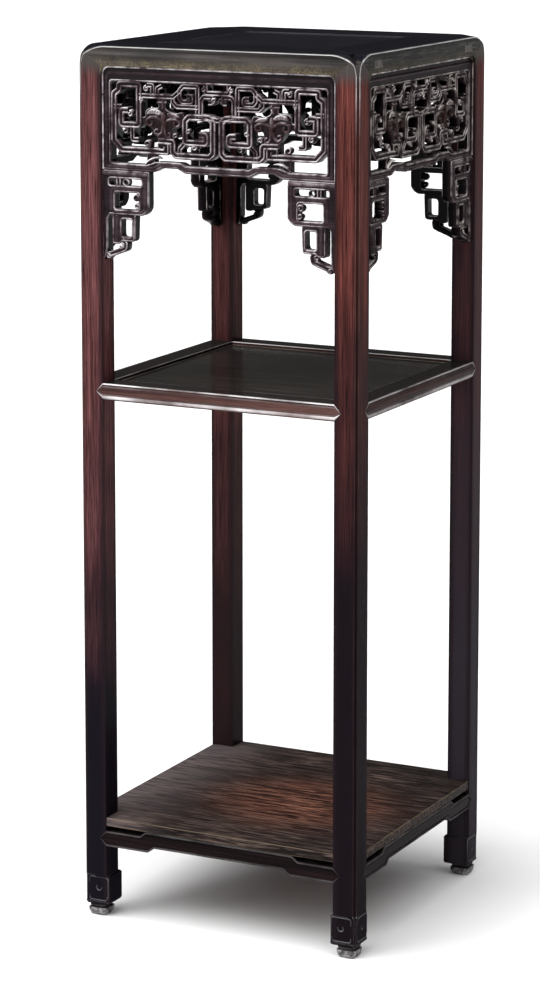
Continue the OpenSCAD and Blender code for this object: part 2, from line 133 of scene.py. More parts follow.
def addRange(tree, value, fromLow, fromHigh, toLow, toHigh, smooth=False):
    ranged = addNode(tree, "ShaderNodeMapRange", interpolation_type="SMOOTHSTEP" if smooth else "LINEAR")
    ranged.inputs["From Min"].default_value = fromLow
    ranged.inputs["From Max"].default_value = fromHigh
    ranged.inputs["To Min"].default_value = toLow
    ranged.inputs["To Max"].default_value = toHigh
    link(tree, value, ranged.inputs["Value"])
    return ranged.outputs["Result"]


def addMath(tree, operation, first, second):
    node = addNode(tree, "ShaderNodeMath", operation=operation)
    for socket, value in zip(node.inputs, (first, second)):
        if isinstance(value, (int, float)):
            socket.default_value = value
        else:
            link(tree, value, socket)
    return node.outputs["Value"]


def addMix(tree, factor, first, second, blend="MIX"):
    mix = addNode(tree, "ShaderNodeMix", data_type="RGBA", blend_type=blend)
    for socket, value in ((mix.inputs[0], factor), (mix.inputs[6], first), (mix.inputs[7], second)):
        if isinstance(value, (int, float)):
            socket.default_value = value
        elif isinstance(value, tuple):
            socket.default_value = (*value, 1)
        else:
            link(tree, value, socket)
    return mix.outputs[2]


def addRamp(tree, value, stops):
    ramp = addNode(tree, "ShaderNodeValToRGB")
    while len(ramp.color_ramp.elements) < len(stops):
        ramp.color_ramp.elements.new(0.5)
    for element, (place, colour) in zip(ramp.color_ramp.elements, stops):
        element.position = place
        element.color = (*colour, 1)
    link(tree, value, ramp.inputs["Fac"])
    return ramp.outputs["Color"]


def stretchAlong(axis, along, across):
    return tuple(along if letter == axis else across for letter in "XYZ")


# what the finishes share, unless a look says otherwise; places and heights in a finish are in metres
anyWood = {
    "fibreRun": 0.025,
    "fibreScale": 520,
    "fibreRange": (0.42, 1.4),
    "fibreSpan": (0.32, 0.68),
    "poreRun": 0.06,
    "poreScale": 1500,
    "poreStrength": 0.55,
    "poreSpan": (0.62, 0.74),
    "noiseSpan": (0.3, 0.7),  # most values of a noise lie between these
    "fleckScale": 1300,
    "fleckSpan": (0.44, 0.66),
    "driftScale": 60,
    "driftSpan": (0.36, 0.58),
    "driftLeast": 0.45,
    "rubGlintNoise": (28, 0.4, 1.1),
    "rubGlintSpan": (0.36, 0.62),
    "rubGlintMost": 1.2,
    "sheenSpan": (0.12, 0.25),
    "shift": (0, 0, 0),
    "fadeRagged": 0.08,
    "fadeEdge": 0.85,
    "crownFibre": 0.25,
    "upwardSlope": (0.55, 0.85),
    "upwardHeights": (0.990, 0.998),
    "upperRough": 0.4,
    "upperRelief": 0.1,
    "gloss": {"clouds": 0.7, "fibres": 0.3, "span": (0.35, 0.65)},
    "relief": {"fibres": 0.6, "pores": 0.8, "streaks": 0.4},
    "bumpDistance": 0.0006,
}


def woodFinish(name, look):
    look = {**anyWood, **look}
    material = bpy.data.materials.new(name)
    material.use_nodes = True
    tree = material.node_tree
    shader = tree.nodes["Principled BSDF"]
    texture = addNode(tree, "ShaderNodeTexCoord")
    coords = texture.outputs["Object"]
    axis = look["grain"]
    shift = look["shift"]
    streakPlace = addMapping(tree, coords, stretchAlong(axis, look["streakRun"], 1), shift)
    fibrePlace = addMapping(tree, coords, stretchAlong(axis, look["fibreRun"], 1), shift)
    porePlace = addMapping(tree, coords, stretchAlong(axis, look["poreRun"], 1), shift)
    streaks = addNoise(tree, streakPlace, look["streakScale"], 5, 0.6, look["streakTwist"])
    fibres = addNoise(tree, fibrePlace, look["fibreScale"], 3, 0.6)
    pores = addNoise(tree, porePlace, look["poreScale"], 2, 0.5)
    clouds = addNoise(tree, addMapping(tree, coords, (1, 1, 1), shift), look["cloudScale"], 3, 0.5)

    # figure of the wood: black streaks, brown, and the warm lights between them
    colour = addRamp(tree, streaks, look["figure"])
    fibreStops = [(at, (v, v, v)) for at, v in zip(look["fibreSpan"], look["fibreRange"])]
    fibreShade = addRamp(tree, fibres, fibreStops)

    def times(value, amount):
        return addMath(tree, "MULTIPLY", value, amount)

    def grained(shade):
        return addMix(tree, look["fibre"], shade, fibreShade, "MULTIPLY")

    def uneven(value, pattern, amount):
        # moves a border to and fro with a pattern
        return addMath(tree, "ADD", value, addRange(tree, pattern, *look["noiseSpan"], -amount, amount))

    colour = grained(colour)
    poreMask = addRange(tree, pores, *look["poreSpan"], 0, look["poreStrength"])
    colour = addMix(tree, poreMask, colour, look["pore"])
    cloudShade = addRamp(tree, clouds, list(zip(look["noiseSpan"], look["cloud"])))
    colour = addMix(tree, 1.0, colour, cloudShade, "MULTIPLY")
    place = addNode(tree, "ShaderNodeSeparateXYZ")
    link(tree, coords, place.inputs["Vector"])
    if "fade" in look:  # painted shade: darker towards the floor, where the light falls off
        low, high, least = look["fade"]
        height = uneven(place.outputs["Z"], clouds, look["fadeRagged"])
        depth = addRange(tree, height, low, high, 1, 0, True)
        colour = addMix(tree, depth, colour, least)
    if "rims" in look:  # painted shade: each face of a leg is darker towards its edges, where it turns from the light
        rims = look["rims"]
        fromCentre = []
        for letter in "XY":
            reach = addMath(tree, "ABSOLUTE", place.outputs[letter], 0)
            fromCentre.append(addMath(tree, "ABSOLUTE", addMath(tree, "SUBTRACT", reach, rims["centre"]), 0))
        ragged = uneven(addMath(tree, "MINIMUM", *fromCentre), streaks, rims["ragged"])
        dark = addRange(tree, ragged, rims["near"], rims["far"], 0, rims["strength"], True)
        colour = addMix(tree, dark, colour, rims["colour"])
    if "crown" in look:  # the legs' tops share the grey of the top rails
        low, high, shade = look["crown"]
        rise = addRange(tree, place.outputs["Z"], low, high, 0, 1, True)
        colour = addMix(tree, rise, colour, addMix(tree, look["crownFibre"], shade, fibreShade, "MULTIPLY"))
    if "bands" in look:  # painted sheen and shade over the height of the face: a glossy band in the middle, a painted shadow at its foot and a dark line under the arris
        low, high, stops = look["bands"]
        level = addRange(tree, place.outputs["Z"], low, high, 0, 1)
        shades = addRamp(tree, level, [(at, (v, v, v)) for at, v in stops])
        colour = addMix(tree, 1.0, colour, shades, "MULTIPLY")
    if "upperFace" in look:  # a rail's upper face is as black as the panel it frames
        low, high, shade = look["upperFace"]
        upper = addRange(tree, place.outputs["Z"], low, high, 0, 1)
        colour = addMix(tree, upper, colour, grained(shade))
    if "upward" in look:  # and so is what bends down from it at the corners
        slope = addNode(tree, "ShaderNodeSeparateXYZ")
        link(tree, texture.outputs["Normal"], slope.inputs["Vector"])
        rise = times(addRange(tree, slope.outputs["Z"], *look["upwardSlope"], 0, 1, True),
                     addRange(tree, place.outputs["Z"], *look["upwardHeights"], 0, 1))
        colour = addMix(tree, rise, colour, grained(look["upward"]))
    if "patch" in look:  # finish worn through to the red wood
        patch = look["patch"]
        spot = addMapping(tree, coords, tuple(1 / r for r in patch["radii"]),
                          tuple(-c / r for c, r in zip(patch["centre"], patch["radii"])))
        length = addNode(tree, "ShaderNodeVectorMath", operation="LENGTH")
        link(tree, spot, length.inputs[0])
        ragged = uneven(length.outputs["Value"], streaks, patch["ragged"])
        mask = addRange(tree, ragged, *patch["soft"], 1, 0, True)
        colour = addMix(tree, mask, colour, grained(addRamp(tree, streaks, patch["figure"])))
    if "leftSheen" in look:  # painted sheen: greyed towards the left edge, where the board catches the light
        leftSheen = look["leftSheen"]
        ragged = uneven(place.outputs["X"], streaks, leftSheen["ragged"])
        grey = addRange(tree, ragged, leftSheen["low"], leftSheen["high"], 0, leftSheen["strength"], True)
        lines = addRamp(tree, streaks, leftSheen["lines"])
        colour = addMix(tree, grey, colour, addMix(tree, 1.0, leftSheen["colour"], lines, "MULTIPLY"))
    if "ruddy" in look:  # redder wood on the carved bats
        warm = addNode(tree, "ShaderNodeAttribute", attribute_name="ruddy").outputs["Fac"]
        colour = addMix(tree, warm, colour, grained(look["ruddy"]))
    if "recess" in look:  # painted shade: darker in the depths of the piercing, where the light does not reach
        low, high, least = look["recess"]
        across = addMath(tree, "ABSOLUTE", place.outputs["X"], 0)
        along = addMath(tree, "ABSOLUTE", place.outputs["Y"], 0)
        sunken = addRange(tree, addMath(tree, "MAXIMUM", across, along), low, high, 1, 0)
        colour = addMix(tree, sunken, colour, least)
    if "ochre" in look:  # old lacquer flecks, within a band of heights
        band = look["ochre"]
        flecks = addNoise(tree, coords, look["fleckScale"], 3, 0.7)
        drifts = addNoise(tree, coords, look["driftScale"], 2, 0.5)
        height = addRange(tree, place.outputs["Z"], band["low"], band["high"], 1, 0)
        amount = times(height, addRange(tree, drifts, *look["driftSpan"], look["driftLeast"], 1))
        mask = times(amount, addRange(tree, flecks, *look["fleckSpan"], 0, band["strength"]))
        colour = addMix(tree, mask, colour, band["colour"])
    wearGlint = addNode(tree, "ShaderNodeAttribute", attribute_name="wearGlint").outputs["Fac"]
    if "hollowShade" in look:  # painted shade: values below nought darken faces as if in shadow, in the border's cove and the bats' backing
        colour = addMix(tree, addRange(tree, wearGlint, -1, 0, 1, 0), colour, look["hollowShade"])
    rubGlintScale, least, most = look["rubGlintNoise"]
    rubGlintNoise = addNoise(tree, coords, rubGlintScale, 3)
    rub = times(addRange(tree, wearGlint, 0, look["rubGlintMost"], 0, look["rubGlintMost"]),
                addRange(tree, rubGlintNoise, *look["rubGlintSpan"], least, most))
    if "sheen" in look:  # painted sheen and highlight: a little warms the wood to a sheen, more takes it to the grey-white of a highlight
        greys, warmed = look["sheenSpan"]
        colour = addMix(tree, addRange(tree, rub, 0, warmed, 0, 1), colour, look["sheen"])
        rub = addRange(tree, rub, greys, 1, 0, 1)
    edge = look["edge"]
    # the painted shade towards the floor dims the edges too
    if "fade" in look:
        edge = addMix(tree, times(depth, look["fadeEdge"]), edge, look["fade"][2])
    if "foot" in look:  # painted highlight: the lines carved on the feet are paler than the legs' edges
        low, high, shade = look["foot"]
        edge = addMix(tree, addRange(tree, place.outputs["Z"], low, high, 1, 0), edge, shade)
    if "crownGlint" in look:  # painted highlight: pale lines on the stepped corner below the top
        low, high, shade = look["crownGlint"]
        edge = addMix(tree, addRange(tree, place.outputs["Z"], low, high, 0, 1), edge, shade)
    # worn and lit edges take the edge colour: wear with a painted highlight
    colour = addMix(tree, times(rub, look["rubGlintMix"]), colour, edge)
    link(tree, colour, shader.inputs["Base Color"])

    gloss = look["gloss"]
    polish = addMath(tree, "ADD", times(clouds, gloss["clouds"]), times(fibres, gloss["fibres"]))
    roughness = addRange(tree, polish, *gloss["span"], *look["rough"])
    if "upperFace" in look:  # the upper face is polished smoother
        roughness = times(roughness, addRange(tree, upper, 0, 1, 1, look["upperRough"]))
    link(tree, roughness, shader.inputs["Roughness"])
    shader.inputs["Specular IOR Level"].default_value = look["specular"]

    relief = look["relief"]
    rise = addMath(tree, "SUBTRACT", times(fibres, relief["fibres"]), times(poreMask, relief["pores"]))
    rise = addMath(tree, "ADD", rise, times(streaks, relief["streaks"]))
    if "upperFace" in look:
        rise = times(rise, addRange(tree, upper, 0, 1, 1, look["upperRelief"]))
    bump = addNode(tree, "ShaderNodeBump")
    bump.inputs["Strength"].default_value = look["bump"]
    bump.inputs["Distance"].default_value = look["bumpDistance"]
    link(tree, rise, bump.inputs["Height"])
    link(tree, bump.outputs["Normal"], shader.inputs["Normal"])
    return material


legLook = {
    "grain": "Z", "streakRun": 0.02, "streakScale": 230, "streakTwist": 0.2, "cloudScale": 7,
    "figure": [(0.3, (0.038, 0.0120, 0.0100)), (0.5, (0.068, 0.0205, 0.0175)), (0.7, (0.104, 0.033, 0.028))],
    "fibre": 0.95, "fibreScale": 820, "fibreRange": (0.25, 1.75), "pore": (0.006, 0.003, 0.003),
    "cloud": ((0.65, 0.65, 0.68), (1.15, 1.1, 1.1)),
    "fade": (0.10, 0.78, (0.0055, 0.0042, 0.006)),
    "rims": {"centre": 0.16075, "near": 0.006, "far": 0.0145, "ragged": 0.003, "strength": 0.85,
             "colour": (0.013, 0.0085, 0.011)},
    "crown": (0.982, 1.003, (0.060, 0.052, 0.050)), "upward": (0.0064, 0.0060, 0.0110),
    "foot": (0.0502, 0.0512, (0.46, 0.45, 0.48)),
    "crownGlint": (0.93, 0.99, (0.80, 0.78, 0.77)),
    "edge": (0.17, 0.085, 0.065), "rubGlintMix": 0.75, "rough": (0.26, 0.4), "specular": 0.008, "bump": 0.25,
}
# each leg is toned for how the light falls on it, painted light and shade: the front left one paler, with a
# painted sheen near its top
legLitTones = {
    "front_left": {"shift": (0.31, 0.07, 0), "fade": (0.18, 0.70, (0.0075, 0.0060, 0.0095)),
                   "cloud": ((1.28, 1.55, 1.85), (1.8, 2.25, 2.75))},
    "front_right": {"shift": (0, 0, 0), "fade": (0.36, 1.06, (0.008, 0.0055, 0.0078)),
                    "cloud": ((1.2, 1.2, 1.2), (1.75, 1.65, 1.6))},
    "back_left": {"shift": (0.12, 0.4, 0), "fade": (0.15, 0.8, (0.018, 0.010, 0.011)),
                  "cloud": ((0.85, 1.0, 1.15), (1.25, 1.5, 1.7))},
    "back_right": {"shift": (0.55, 0.21, 0), "fade": (0.25, 1.22, (0.028, 0.023, 0.030))},
}
topRailLook = {
    "grain": "X", "streakRun": 0.03, "streakScale": 150, "streakTwist": 0.2, "cloudScale": 15,
    "figure": [(0.3, (0.016, 0.0135, 0.0128)), (0.5, (0.036, 0.0318, 0.0305)), (0.7, (0.064, 0.057, 0.055))],
    "fibre": 0.5, "pore": (0.015, 0.012, 0.010), "cloud": ((0.55, 0.55, 0.57), (1.3, 1.28, 1.26)),
    "ochre": {"low": 0.9985, "high": 1.0085, "strength": 1.0, "colour": (0.30, 0.235, 0.13)},
    "bands": (0.998, 1.020, [(0.0, 0.4), (0.06, 0.75), (0.3, 0.8), (0.55, 1.25), (0.72, 1.15), (0.8, 0.5),
                             (0.9, 0.6)]),
    "upperFace": (1.0190, 1.0198, (0.0054, 0.0051, 0.0100)), "upward": (0.0054, 0.0051, 0.0100),
    "edge": (0.80, 0.78, 0.77), "rubGlintMix": 0.85, "rubGlintNoise": (18, 0.7, 1.2), "rough": (0.2, 0.3),
    "specular": 0.06, "bump": 0.2,
}
topRailShadedLook = {
    "ochre": {**topRailLook["ochre"], "strength": 0.35}, "streakScale": 380, "streakRun": 0.07,
    "specular": 0.025,
    "figure": [(0.3, (0.004, 0.004, 0.004)), (0.5, (0.010, 0.010, 0.0095)), (0.62, (0.032, 0.032, 0.030)),
               (0.75, (0.12, 0.12, 0.11))],
}
panelLook = {
    "grain": "X", "streakRun": 0.03, "streakScale": 90, "streakTwist": 0.3, "cloudScale": 8,
    "figure": [(0.3, (0.0035, 0.0033, 0.0080)), (0.5, (0.0055, 0.0052, 0.0118)),
               (0.7, (0.010, 0.0095, 0.017))],
    "fibre": 0.5, "pore": (0.005, 0.004, 0.005), "cloud": ((0.7, 0.7, 0.75), (1.15, 1.12, 1.15)),
    "edge": (0.30, 0.27, 0.24), "rubGlintMix": 0.8, "rough": (0.1, 0.16), "specular": 0.1, "bump": 0.04,
}
shelfPanelLook = {
    **panelLook,
    "streakRun": 0.012, "streakScale": 700,
    "figure": [(0.3, (0.008, 0.0072, 0.0066)), (0.5, (0.027, 0.0240, 0.0215)), (0.7, (0.068, 0.060, 0.053))],
    "fibre": 0.85, "edge": (0.50, 0.45, 0.36), "rough": (0.14, 0.24), "bump": 0.06,
}
carvingLook = {
    "grain": "X", "streakRun": 0.08, "streakScale": 120, "streakTwist": 0.3, "cloudScale": 25,
    "figure": [(0.3, (0.008, 0.0055, 0.0068)), (0.5, (0.020, 0.0130, 0.0162)), (0.72, (0.038, 0.024, 0.029))],
    "fibre": 0.4, "pore": (0.006, 0.004, 0.004), "cloud": ((0.7, 0.7, 0.72), (1.25, 1.2, 1.2)),
    "ruddy": (0.030, 0.014, 0.013), "recess": (0.1645, 0.1704, (0.003, 0.0022, 0.0025)),
    "hollowShade": (0.004, 0.003, 0.0035), "sheen": (0.115, 0.082, 0.095), "edge": (0.88, 0.84, 0.86), "rubGlintMix": 1.0,
    "rubGlintNoise": (70, 0.25, 1.9), "rough": (0.2, 0.3), "specular": 0.035, "bump": 0.12,
}
carvingShadedLook = {"sheen": (0.052, 0.037, 0.036), "edge": (0.66, 0.61, 0.59), "specular": 0.015}
railLook = {
    "grain": "X", "streakRun": 0.03, "streakScale": 130, "streakTwist": 0.2, "cloudScale": 9,
    "figure": [(0.3, (0.022, 0.011, 0.011)), (0.5, (0.075, 0.036, 0.032)), (0.7, (0.14, 0.072, 0.062))],
    "fibre": 0.5, "pore": (0.010, 0.006, 0.005), "cloud": ((0.7, 0.7, 0.7), (1.15, 1.12, 1.12)),
    "upperFace": (0.6338, 0.6348, (0.016, 0.0135, 0.0135)),
    "edge": (0.74, 0.70, 0.71), "rubGlintMix": 0.95, "rubGlintNoise": (13, 0.2, 1.3), "rough": (0.2, 0.32),
    "specular": 0.04, "bump": 0.2,
}
railShadedLook = {"rubGlintMix": 0.38, "specular": 0.015, "cloud": ((0.26, 0.27, 0.29), (0.55, 0.55, 0.57))}
boardLook = {
    "grain": "X", "streakRun": 0.055, "streakScale": 380, "streakTwist": 0.9, "cloudScale": 11,
    "figure": [(0.40, (0.005, 0.004, 0.004)), (0.5, (0.024, 0.017, 0.015)), (0.62, (0.105, 0.076, 0.066))],
    "fibre": 0.8, "pore": (0.010, 0.006, 0.005), "cloud": ((0.5, 0.51, 0.53), (1.35, 1.28, 1.25)),
    "patch": {"centre": (0.035, -0.02, 0.121), "radii": (0.14, 0.12, 0.1),
              "ragged": 0.45, "soft": (0.45, 1.15),
              "figure": [(0.38, (0.005, 0.003, 0.003)), (0.46, (0.030, 0.012, 0.010)),
                         (0.54, (0.14, 0.058, 0.038)), (0.64, (0.30, 0.14, 0.09))]},
    "leftSheen": {"low": -0.06, "high": -0.175, "ragged": 0.05, "strength": 0.7, "colour": (0.125, 0.104, 0.106),
             "lines": [(0.38, (0.3, 0.28, 0.28)), (0.62, (1.6, 1.6, 1.6))]},
    "edge": (0.26, 0.20, 0.13), "rubGlintMix": 0.4, "rough": (0.42, 0.6), "specular": 0.05, "bump": 0.35,
}
stretcherLook = {
    "grain": "X", "streakRun": 0.03, "streakScale": 130, "streakTwist": 0.2, "cloudScale": 9,
    "figure": [(0.3, (0.004, 0.003, 0.0034)), (0.5, (0.009, 0.0056, 0.006)), (0.7, (0.019, 0.0105, 0.010))],
    "fibre": 0.5, "pore": (0.005, 0.003, 0.003), "cloud": ((0.7, 0.7, 0.7), (1.15, 1.12, 1.12)),
    "edge": (0.13, 0.12, 0.125), "rubGlintMix": 0.45, "rough": (0.22, 0.34), "specular": 0.02, "bump": 0.2,
}
padLook = {
    "grain": "X", "streakRun": 0.10, "streakScale": 240, "streakTwist": 0.4, "cloudScale": 40,
    "figure": [(0.3, (0.008, 0.007, 0.007)), (0.5, (0.020, 0.018, 0.018)), (0.72, (0.08, 0.075, 0.075))],
    "fibre": 0.6, "pore": (0.02, 0.017, 0.015), "cloud": ((0.6, 0.6, 0.6), (1.3, 1.28, 1.25)),
    "edge": (0.30, 0.29, 0.30), "rubGlintMix": 0.8, "rubGlintNoise": (190, 0.1, 1.2), "rough": (0.5, 0.7),
    "specular": 0.1, "bump": 0.5,
}


def pairedWood(name, look, shadedLook=None):
    # one finish for front and back, and one with its grain turned for the sides; a shaded look paints the
    # sides darker, for the shade the right side stands in
    along = woodFinish(name + "X", look)
    across = woodFinish(name + "Y", {**look, **(shadedLook or {}), "grain": "Y"})
    return {"front": along, "back": along, "right": across, "left": across}


legWood = {corner: woodFinish("legWood_" + corner, {**legLook, **tone}) for corner, tone in legLitTones.items()}
topRailWood = pairedWood("topRailWood", topRailLook, topRailShadedLook)
panelWood = {"top_panel": woodFinish("topPanelWood", panelLook),
             "shelf_panel": woodFinish("shelfPanelWood", shelfPanelLook)}
carvedWood = pairedWood("carvedWood", carvingLook, carvingShadedLook)
railWood = pairedWood("railWood", railLook, railShadedLook)
boardWood = woodFinish("boardWood", boardLook)
stretcherWood = pairedWood("stretcherWood", stretcherLook)
padWood = woodFinish("padWood", padLook)
print("finishes:", len(bpy.data.materials))


# the panel carved on a foot: lines on the front face of the front right foot
footLines = {
    "top": 50.0,
    "sunk": 0.8,
    "fretFloor": 174.0,
    "fretReach": 3.0,
    "touch": 0.05,
    "lip": 0.1,
    "weld": 1e-5,
    "cut": 1e-7,
    "line": {"section": "bead", "width": 1.7, "depth": 1.7, "bend": 3.0, "steps": 5},
    # (along, up, out of the face, thickness)
    "paths": [[(144.4, 24, 0, 0.7), (144.4, 47.6, 0, 1), (169.2, 47.6, 0, 1), (169.2, 40, 0, 0.6)],
              [(145.6, 24.5, 0, 0.6), (145.6, 19.6, 0, 1), (169, 19.6, 0, 1), (169, 25, 0, 0.6)],
              [(152.6, 36.4, 0, 0.6), (153.4, 33, 0, 1), (156.2, 31.2, 0, 1.2), (159.2, 32.6, 0, 1.2),
               (160, 36, 0, 1.1), (158.6, 37.6, 0, 0.6)]],
}


# how the edges of a solid's copy are eased; rims are the rails' upper edges and the legs' stepped corners
easing = {
    "merge": 1e-6,
    "flatAngle": math.radians(0.5),
    "sharpAngle": math.radians(30),
    "steps": 2,
    "rimSteps": 4,
    "rimTouch": 0.01,
    "railDrop": 8.0,
    "railAngle": math.radians(60),
    "stepReach": 10.6,
    "stepAngle": math.radians(30),
    "stepRise": 0.3,
    "mitre": {"inside": 2.0, "outside": 6.0, "below": 2.0},
    "footLap": 1.0,
    # wear and painted highlight on the rims: at the foot, on the legs and on the rails
    "footWearGlint": 0.1,
    "legWearGlint": 1.0,
    "railGlint": (0.6, 0.1, 0.3),
    "railRises": (0.6, 0.9),
}
easedPieces = {
    "topRail": {"width": 0.4, "rim": 1.3, "rubGlintMix": 0.3},
    "lowBoard": {"width": 0.8},
    "batten": {"width": 0.3},
    "leg": {"width": 0.35, "rim": 0.7},
    "panel": {"width": 0.7},
}


def softCopy(node, width, rim=None, rubGlintMix=1.0):
    # the node's own shape with its hard edges eased, as on handled wood
    shape = bmesh.new()
    shape.from_mesh(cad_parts[node].data)
    bmesh.ops.remove_doubles(shape, verts=shape.verts, dist=easing["merge"])
    mergeFlatFaces(shape)
    if node.startswith("leg_"):
        sinkFootFaces(shape)
    wearGlint = shape.faces.layers.float.new("wearGlint")
    if rim:  # these edges are rounded more than the rest
        chosen = onStep if node.startswith("leg_") else onRim
        outer = [e for e in shape.edges if len(e.link_faces) == 2 and chosen(e)]
        for face in roundEdges(shape, outer, rim, easing["rimSteps"], False):
            face[wearGlint] = rimGlint(face)
            face.smooth = True
    sharp = [e for e in shape.edges if len(e.link_faces) == 2 and e.calc_face_angle() > easing["sharpAngle"]
             and not any(face[wearGlint] for face in e.link_faces) and not inMitre(*(v.co for v in e.verts))]
    # eased edges carry wear with a painted highlight, but none in the mitre
    for face in roundEdges(shape, sharp, width, easing["steps"], True):
        face[wearGlint] = 0.0 if inMitre(face.calc_center_median()) else rubGlintMix
        face.smooth = True
    half, top = stand["half"] * mm, stand["top"] * mm
    for vert in shape.verts:  # nothing stands out past the solid
        x, y, z = vert.co
        vert.co = (min(max(x, -half), half), min(max(y, -half), half), min(z, top))
    mesh = bpy.data.meshes.new(node + "_eased")
    shape.to_mesh(mesh)
    shape.free()
    return mesh


def roundEdges(shape, edges, width, steps, clamp):
    return bmesh.ops.bevel(shape, geom=edges, offset=width * mm, offset_type="OFFSET", affect="EDGES",
                           segments=steps, profile=0.5, clamp_overlap=clamp)["faces"]


def mergeFlatFaces(shape):
    bmesh.ops.dissolve_limit(shape, angle_limit=easing["flatAngle"], verts=shape.verts, edges=shape.edges,
                             delimit={"NORMAL"})


def sinkFootFaces(shape):
    # closes the solid's fret and sets the foot's outer faces back, to carry the carved lines instead
    limit = (footLines["top"] + footLines["fretReach"]) * mm
    for vert in shape.verts:
        for axis in (0, 1):
            fromFloor = abs(abs(vert.co[axis]) / mm - footLines["fretFloor"])
            if vert.co.z < limit and fromFloor < footLines["touch"]:
                vert.co[axis] = math.copysign(stand["half"] * mm, vert.co[axis])
    bmesh.ops.remove_doubles(shape, verts=shape.verts, dist=footLines["weld"])
    bmesh.ops.dissolve_degenerate(shape, edges=shape.edges, dist=easing["merge"])
    for height in (footLines["top"], footLines["top"] - footLines["sunk"]):
        bmesh.ops.bisect_plane(shape, geom=shape.verts[:] + shape.edges[:] + shape.faces[:],
                               dist=footLines["cut"], plane_co=(0, 0, height * mm), plane_no=(0, 0, 1))
    face = (stand["half"] - easing["rimTouch"]) * mm
    for vert in shape.verts:
        for axis in (0, 1):
            if vert.co.z < (footLines["top"] - footLines["lip"]) * mm and abs(vert.co[axis]) > face:
                vert.co[axis] -= math.copysign(footLines["sunk"] * mm, vert.co[axis])
    mergeFlatFaces(shape)


def onOuterFace(*points):
    return min(max(abs(v.x), abs(v.y)) for v in points) > stand["half"] - easing["rimTouch"]


def onRim(edge):
    first, second = (v.co / mm for v in edge.verts)
    # down to where the rounded corner meets the leg
    upper = min(first.z, second.z) > stand["top"] - easing["railDrop"]
    return onOuterFace(first, second) and upper and edge.calc_face_angle() > easing["railAngle"]


def onStep(edge):
    first, second = (v.co / mm for v in edge.verts)
    atCorner = min(abs(c) for v in (first, second) for c in v.xy) > stand["half"] - easing["stepReach"]
    upright = abs(first.z - second.z) > easing["stepRise"]
    bent = edge.calc_face_angle() > easing["stepAngle"]
    return onOuterFace(first, second) and atCorner and upright and bent


def rimGlint(face):
    # painted highlight: a bright line where the edge leaves the face, and a fainter one at its upper end
    rise, height = face.normal.z, face.calc_center_median().z / mm
    if height < footLines["top"] + easing["footLap"]:
        return easing["footWearGlint"]
    if height < stand["railUnder"]:
        return easing["legWearGlint"]
    nearFace, between, nearTop = easing["railGlint"]
    faceEnds, topStarts = easing["railRises"]
    return nearFace if rise < faceEnds else nearTop if rise > topStarts else between


def inMitre(*points):
    # nothing shows where rail and leg meet in their mitre
    x, y, z = sum(points, Vector()) / len(points) / mm
    mitre = easing["mitre"]
    inside, outside = stand["inner"] - mitre["inside"], stand["half"] - mitre["outside"]
    return inside < min(abs(x), abs(y)) < outside and z > stand["railUnder"] - mitre["below"]


for side in sides:
    node = "top_rail_" + side
    rail = addObject(node + "_wood", softCopy(node, **easedPieces["topRail"]))
    dressPiece(rail, node, topRailWood[side])
board = addObject("low_board_wood", softCopy("low_board", **easedPieces["lowBoard"]))
dressPiece(board, "low_board", boardWood)
for name in ("top_batten", "shelf_batten"):
    batten = addObject(name + "_wood", softCopy(name, **easedPieces["batten"]))
    dressPiece(batten, name, railWood["right"])


def makeSweepTree():
    tree = bpy.data.node_groups.new("carvedBarSweep", "GeometryNodeTree")
    for name, kind in (("Geometry", "Geometry"), ("Section", "Object"), ("Width", "Float"),
                       ("Depth", "Float"), ("Bend Radius", "Float"), ("Bend Steps", "Int"),
                       ("Finish", "Material")):
        tree.interface.new_socket(name, in_out="INPUT", socket_type="NodeSocket" + kind)
    tree.interface.new_socket("Geometry", in_out="OUTPUT", socket_type="NodeSocketGeometry")
    given = tree.nodes.new("NodeGroupInput")
    result = tree.nodes.new("NodeGroupOutput")
    level = addNode(tree, "GeometryNodeSetCurveNormal", mode="Z_UP")
    bend = addNode(tree, "GeometryNodeFilletCurve", mode="POLY")
    bend.inputs["Limit Radius"].default_value = True
    section = tree.nodes.new("GeometryNodeObjectInfo")
    size = tree.nodes.new("ShaderNodeCombineXYZ")
    size.inputs["Z"].default_value = 1
    fitted = tree.nodes.new("GeometryNodeTransform")
    sweep = tree.nodes.new("GeometryNodeCurveToMesh")
    sweep.inputs["Fill Caps"].default_value = True
    radius = tree.nodes.new("GeometryNodeInputRadius")
    smooth = tree.nodes.new("GeometryNodeSetShadeSmooth")
    realize = tree.nodes.new("GeometryNodeRealizeInstances")
    finish = tree.nodes.new("GeometryNodeSetMaterial")
    link(tree, given.outputs["Geometry"], level.inputs["Curve"])
    link(tree, level.outputs["Curve"], bend.inputs["Curve"])
    link(tree, given.outputs["Bend Radius"], bend.inputs["Radius"])
    link(tree, given.outputs["Bend Steps"], bend.inputs["Count"])
    link(tree, given.outputs["Section"], section.inputs["Object"])
    link(tree, given.outputs["Width"], size.inputs["X"])
    link(tree, given.outputs["Depth"], size.inputs["Y"])
    link(tree, section.outputs["Geometry"], fitted.inputs["Geometry"])
    link(tree, size.outputs["Vector"], fitted.inputs["Scale"])
    link(tree, bend.outputs["Curve"], sweep.inputs["Curve"])
    link(tree, fitted.outputs["Geometry"], sweep.inputs["Profile Curve"])
    link(tree, radius.outputs["Radius"], sweep.inputs["Scale"])
    link(tree, sweep.outputs["Mesh"], smooth.inputs["Geometry"])
    link(tree, smooth.outputs["Geometry"], realize.inputs["Geometry"])
    link(tree, realize.outputs["Geometry"], finish.inputs["Geometry"])
    link(tree, given.outputs["Finish"], finish.inputs["Material"])
    link(tree, finish.outputs["Geometry"], result.inputs["Geometry"])
    return tree


sweepTree = makeSweepTree()
sweepInput = {item.name: item.identifier for item in sweepTree.interface.items_tree if item.in_out == "INPUT"}


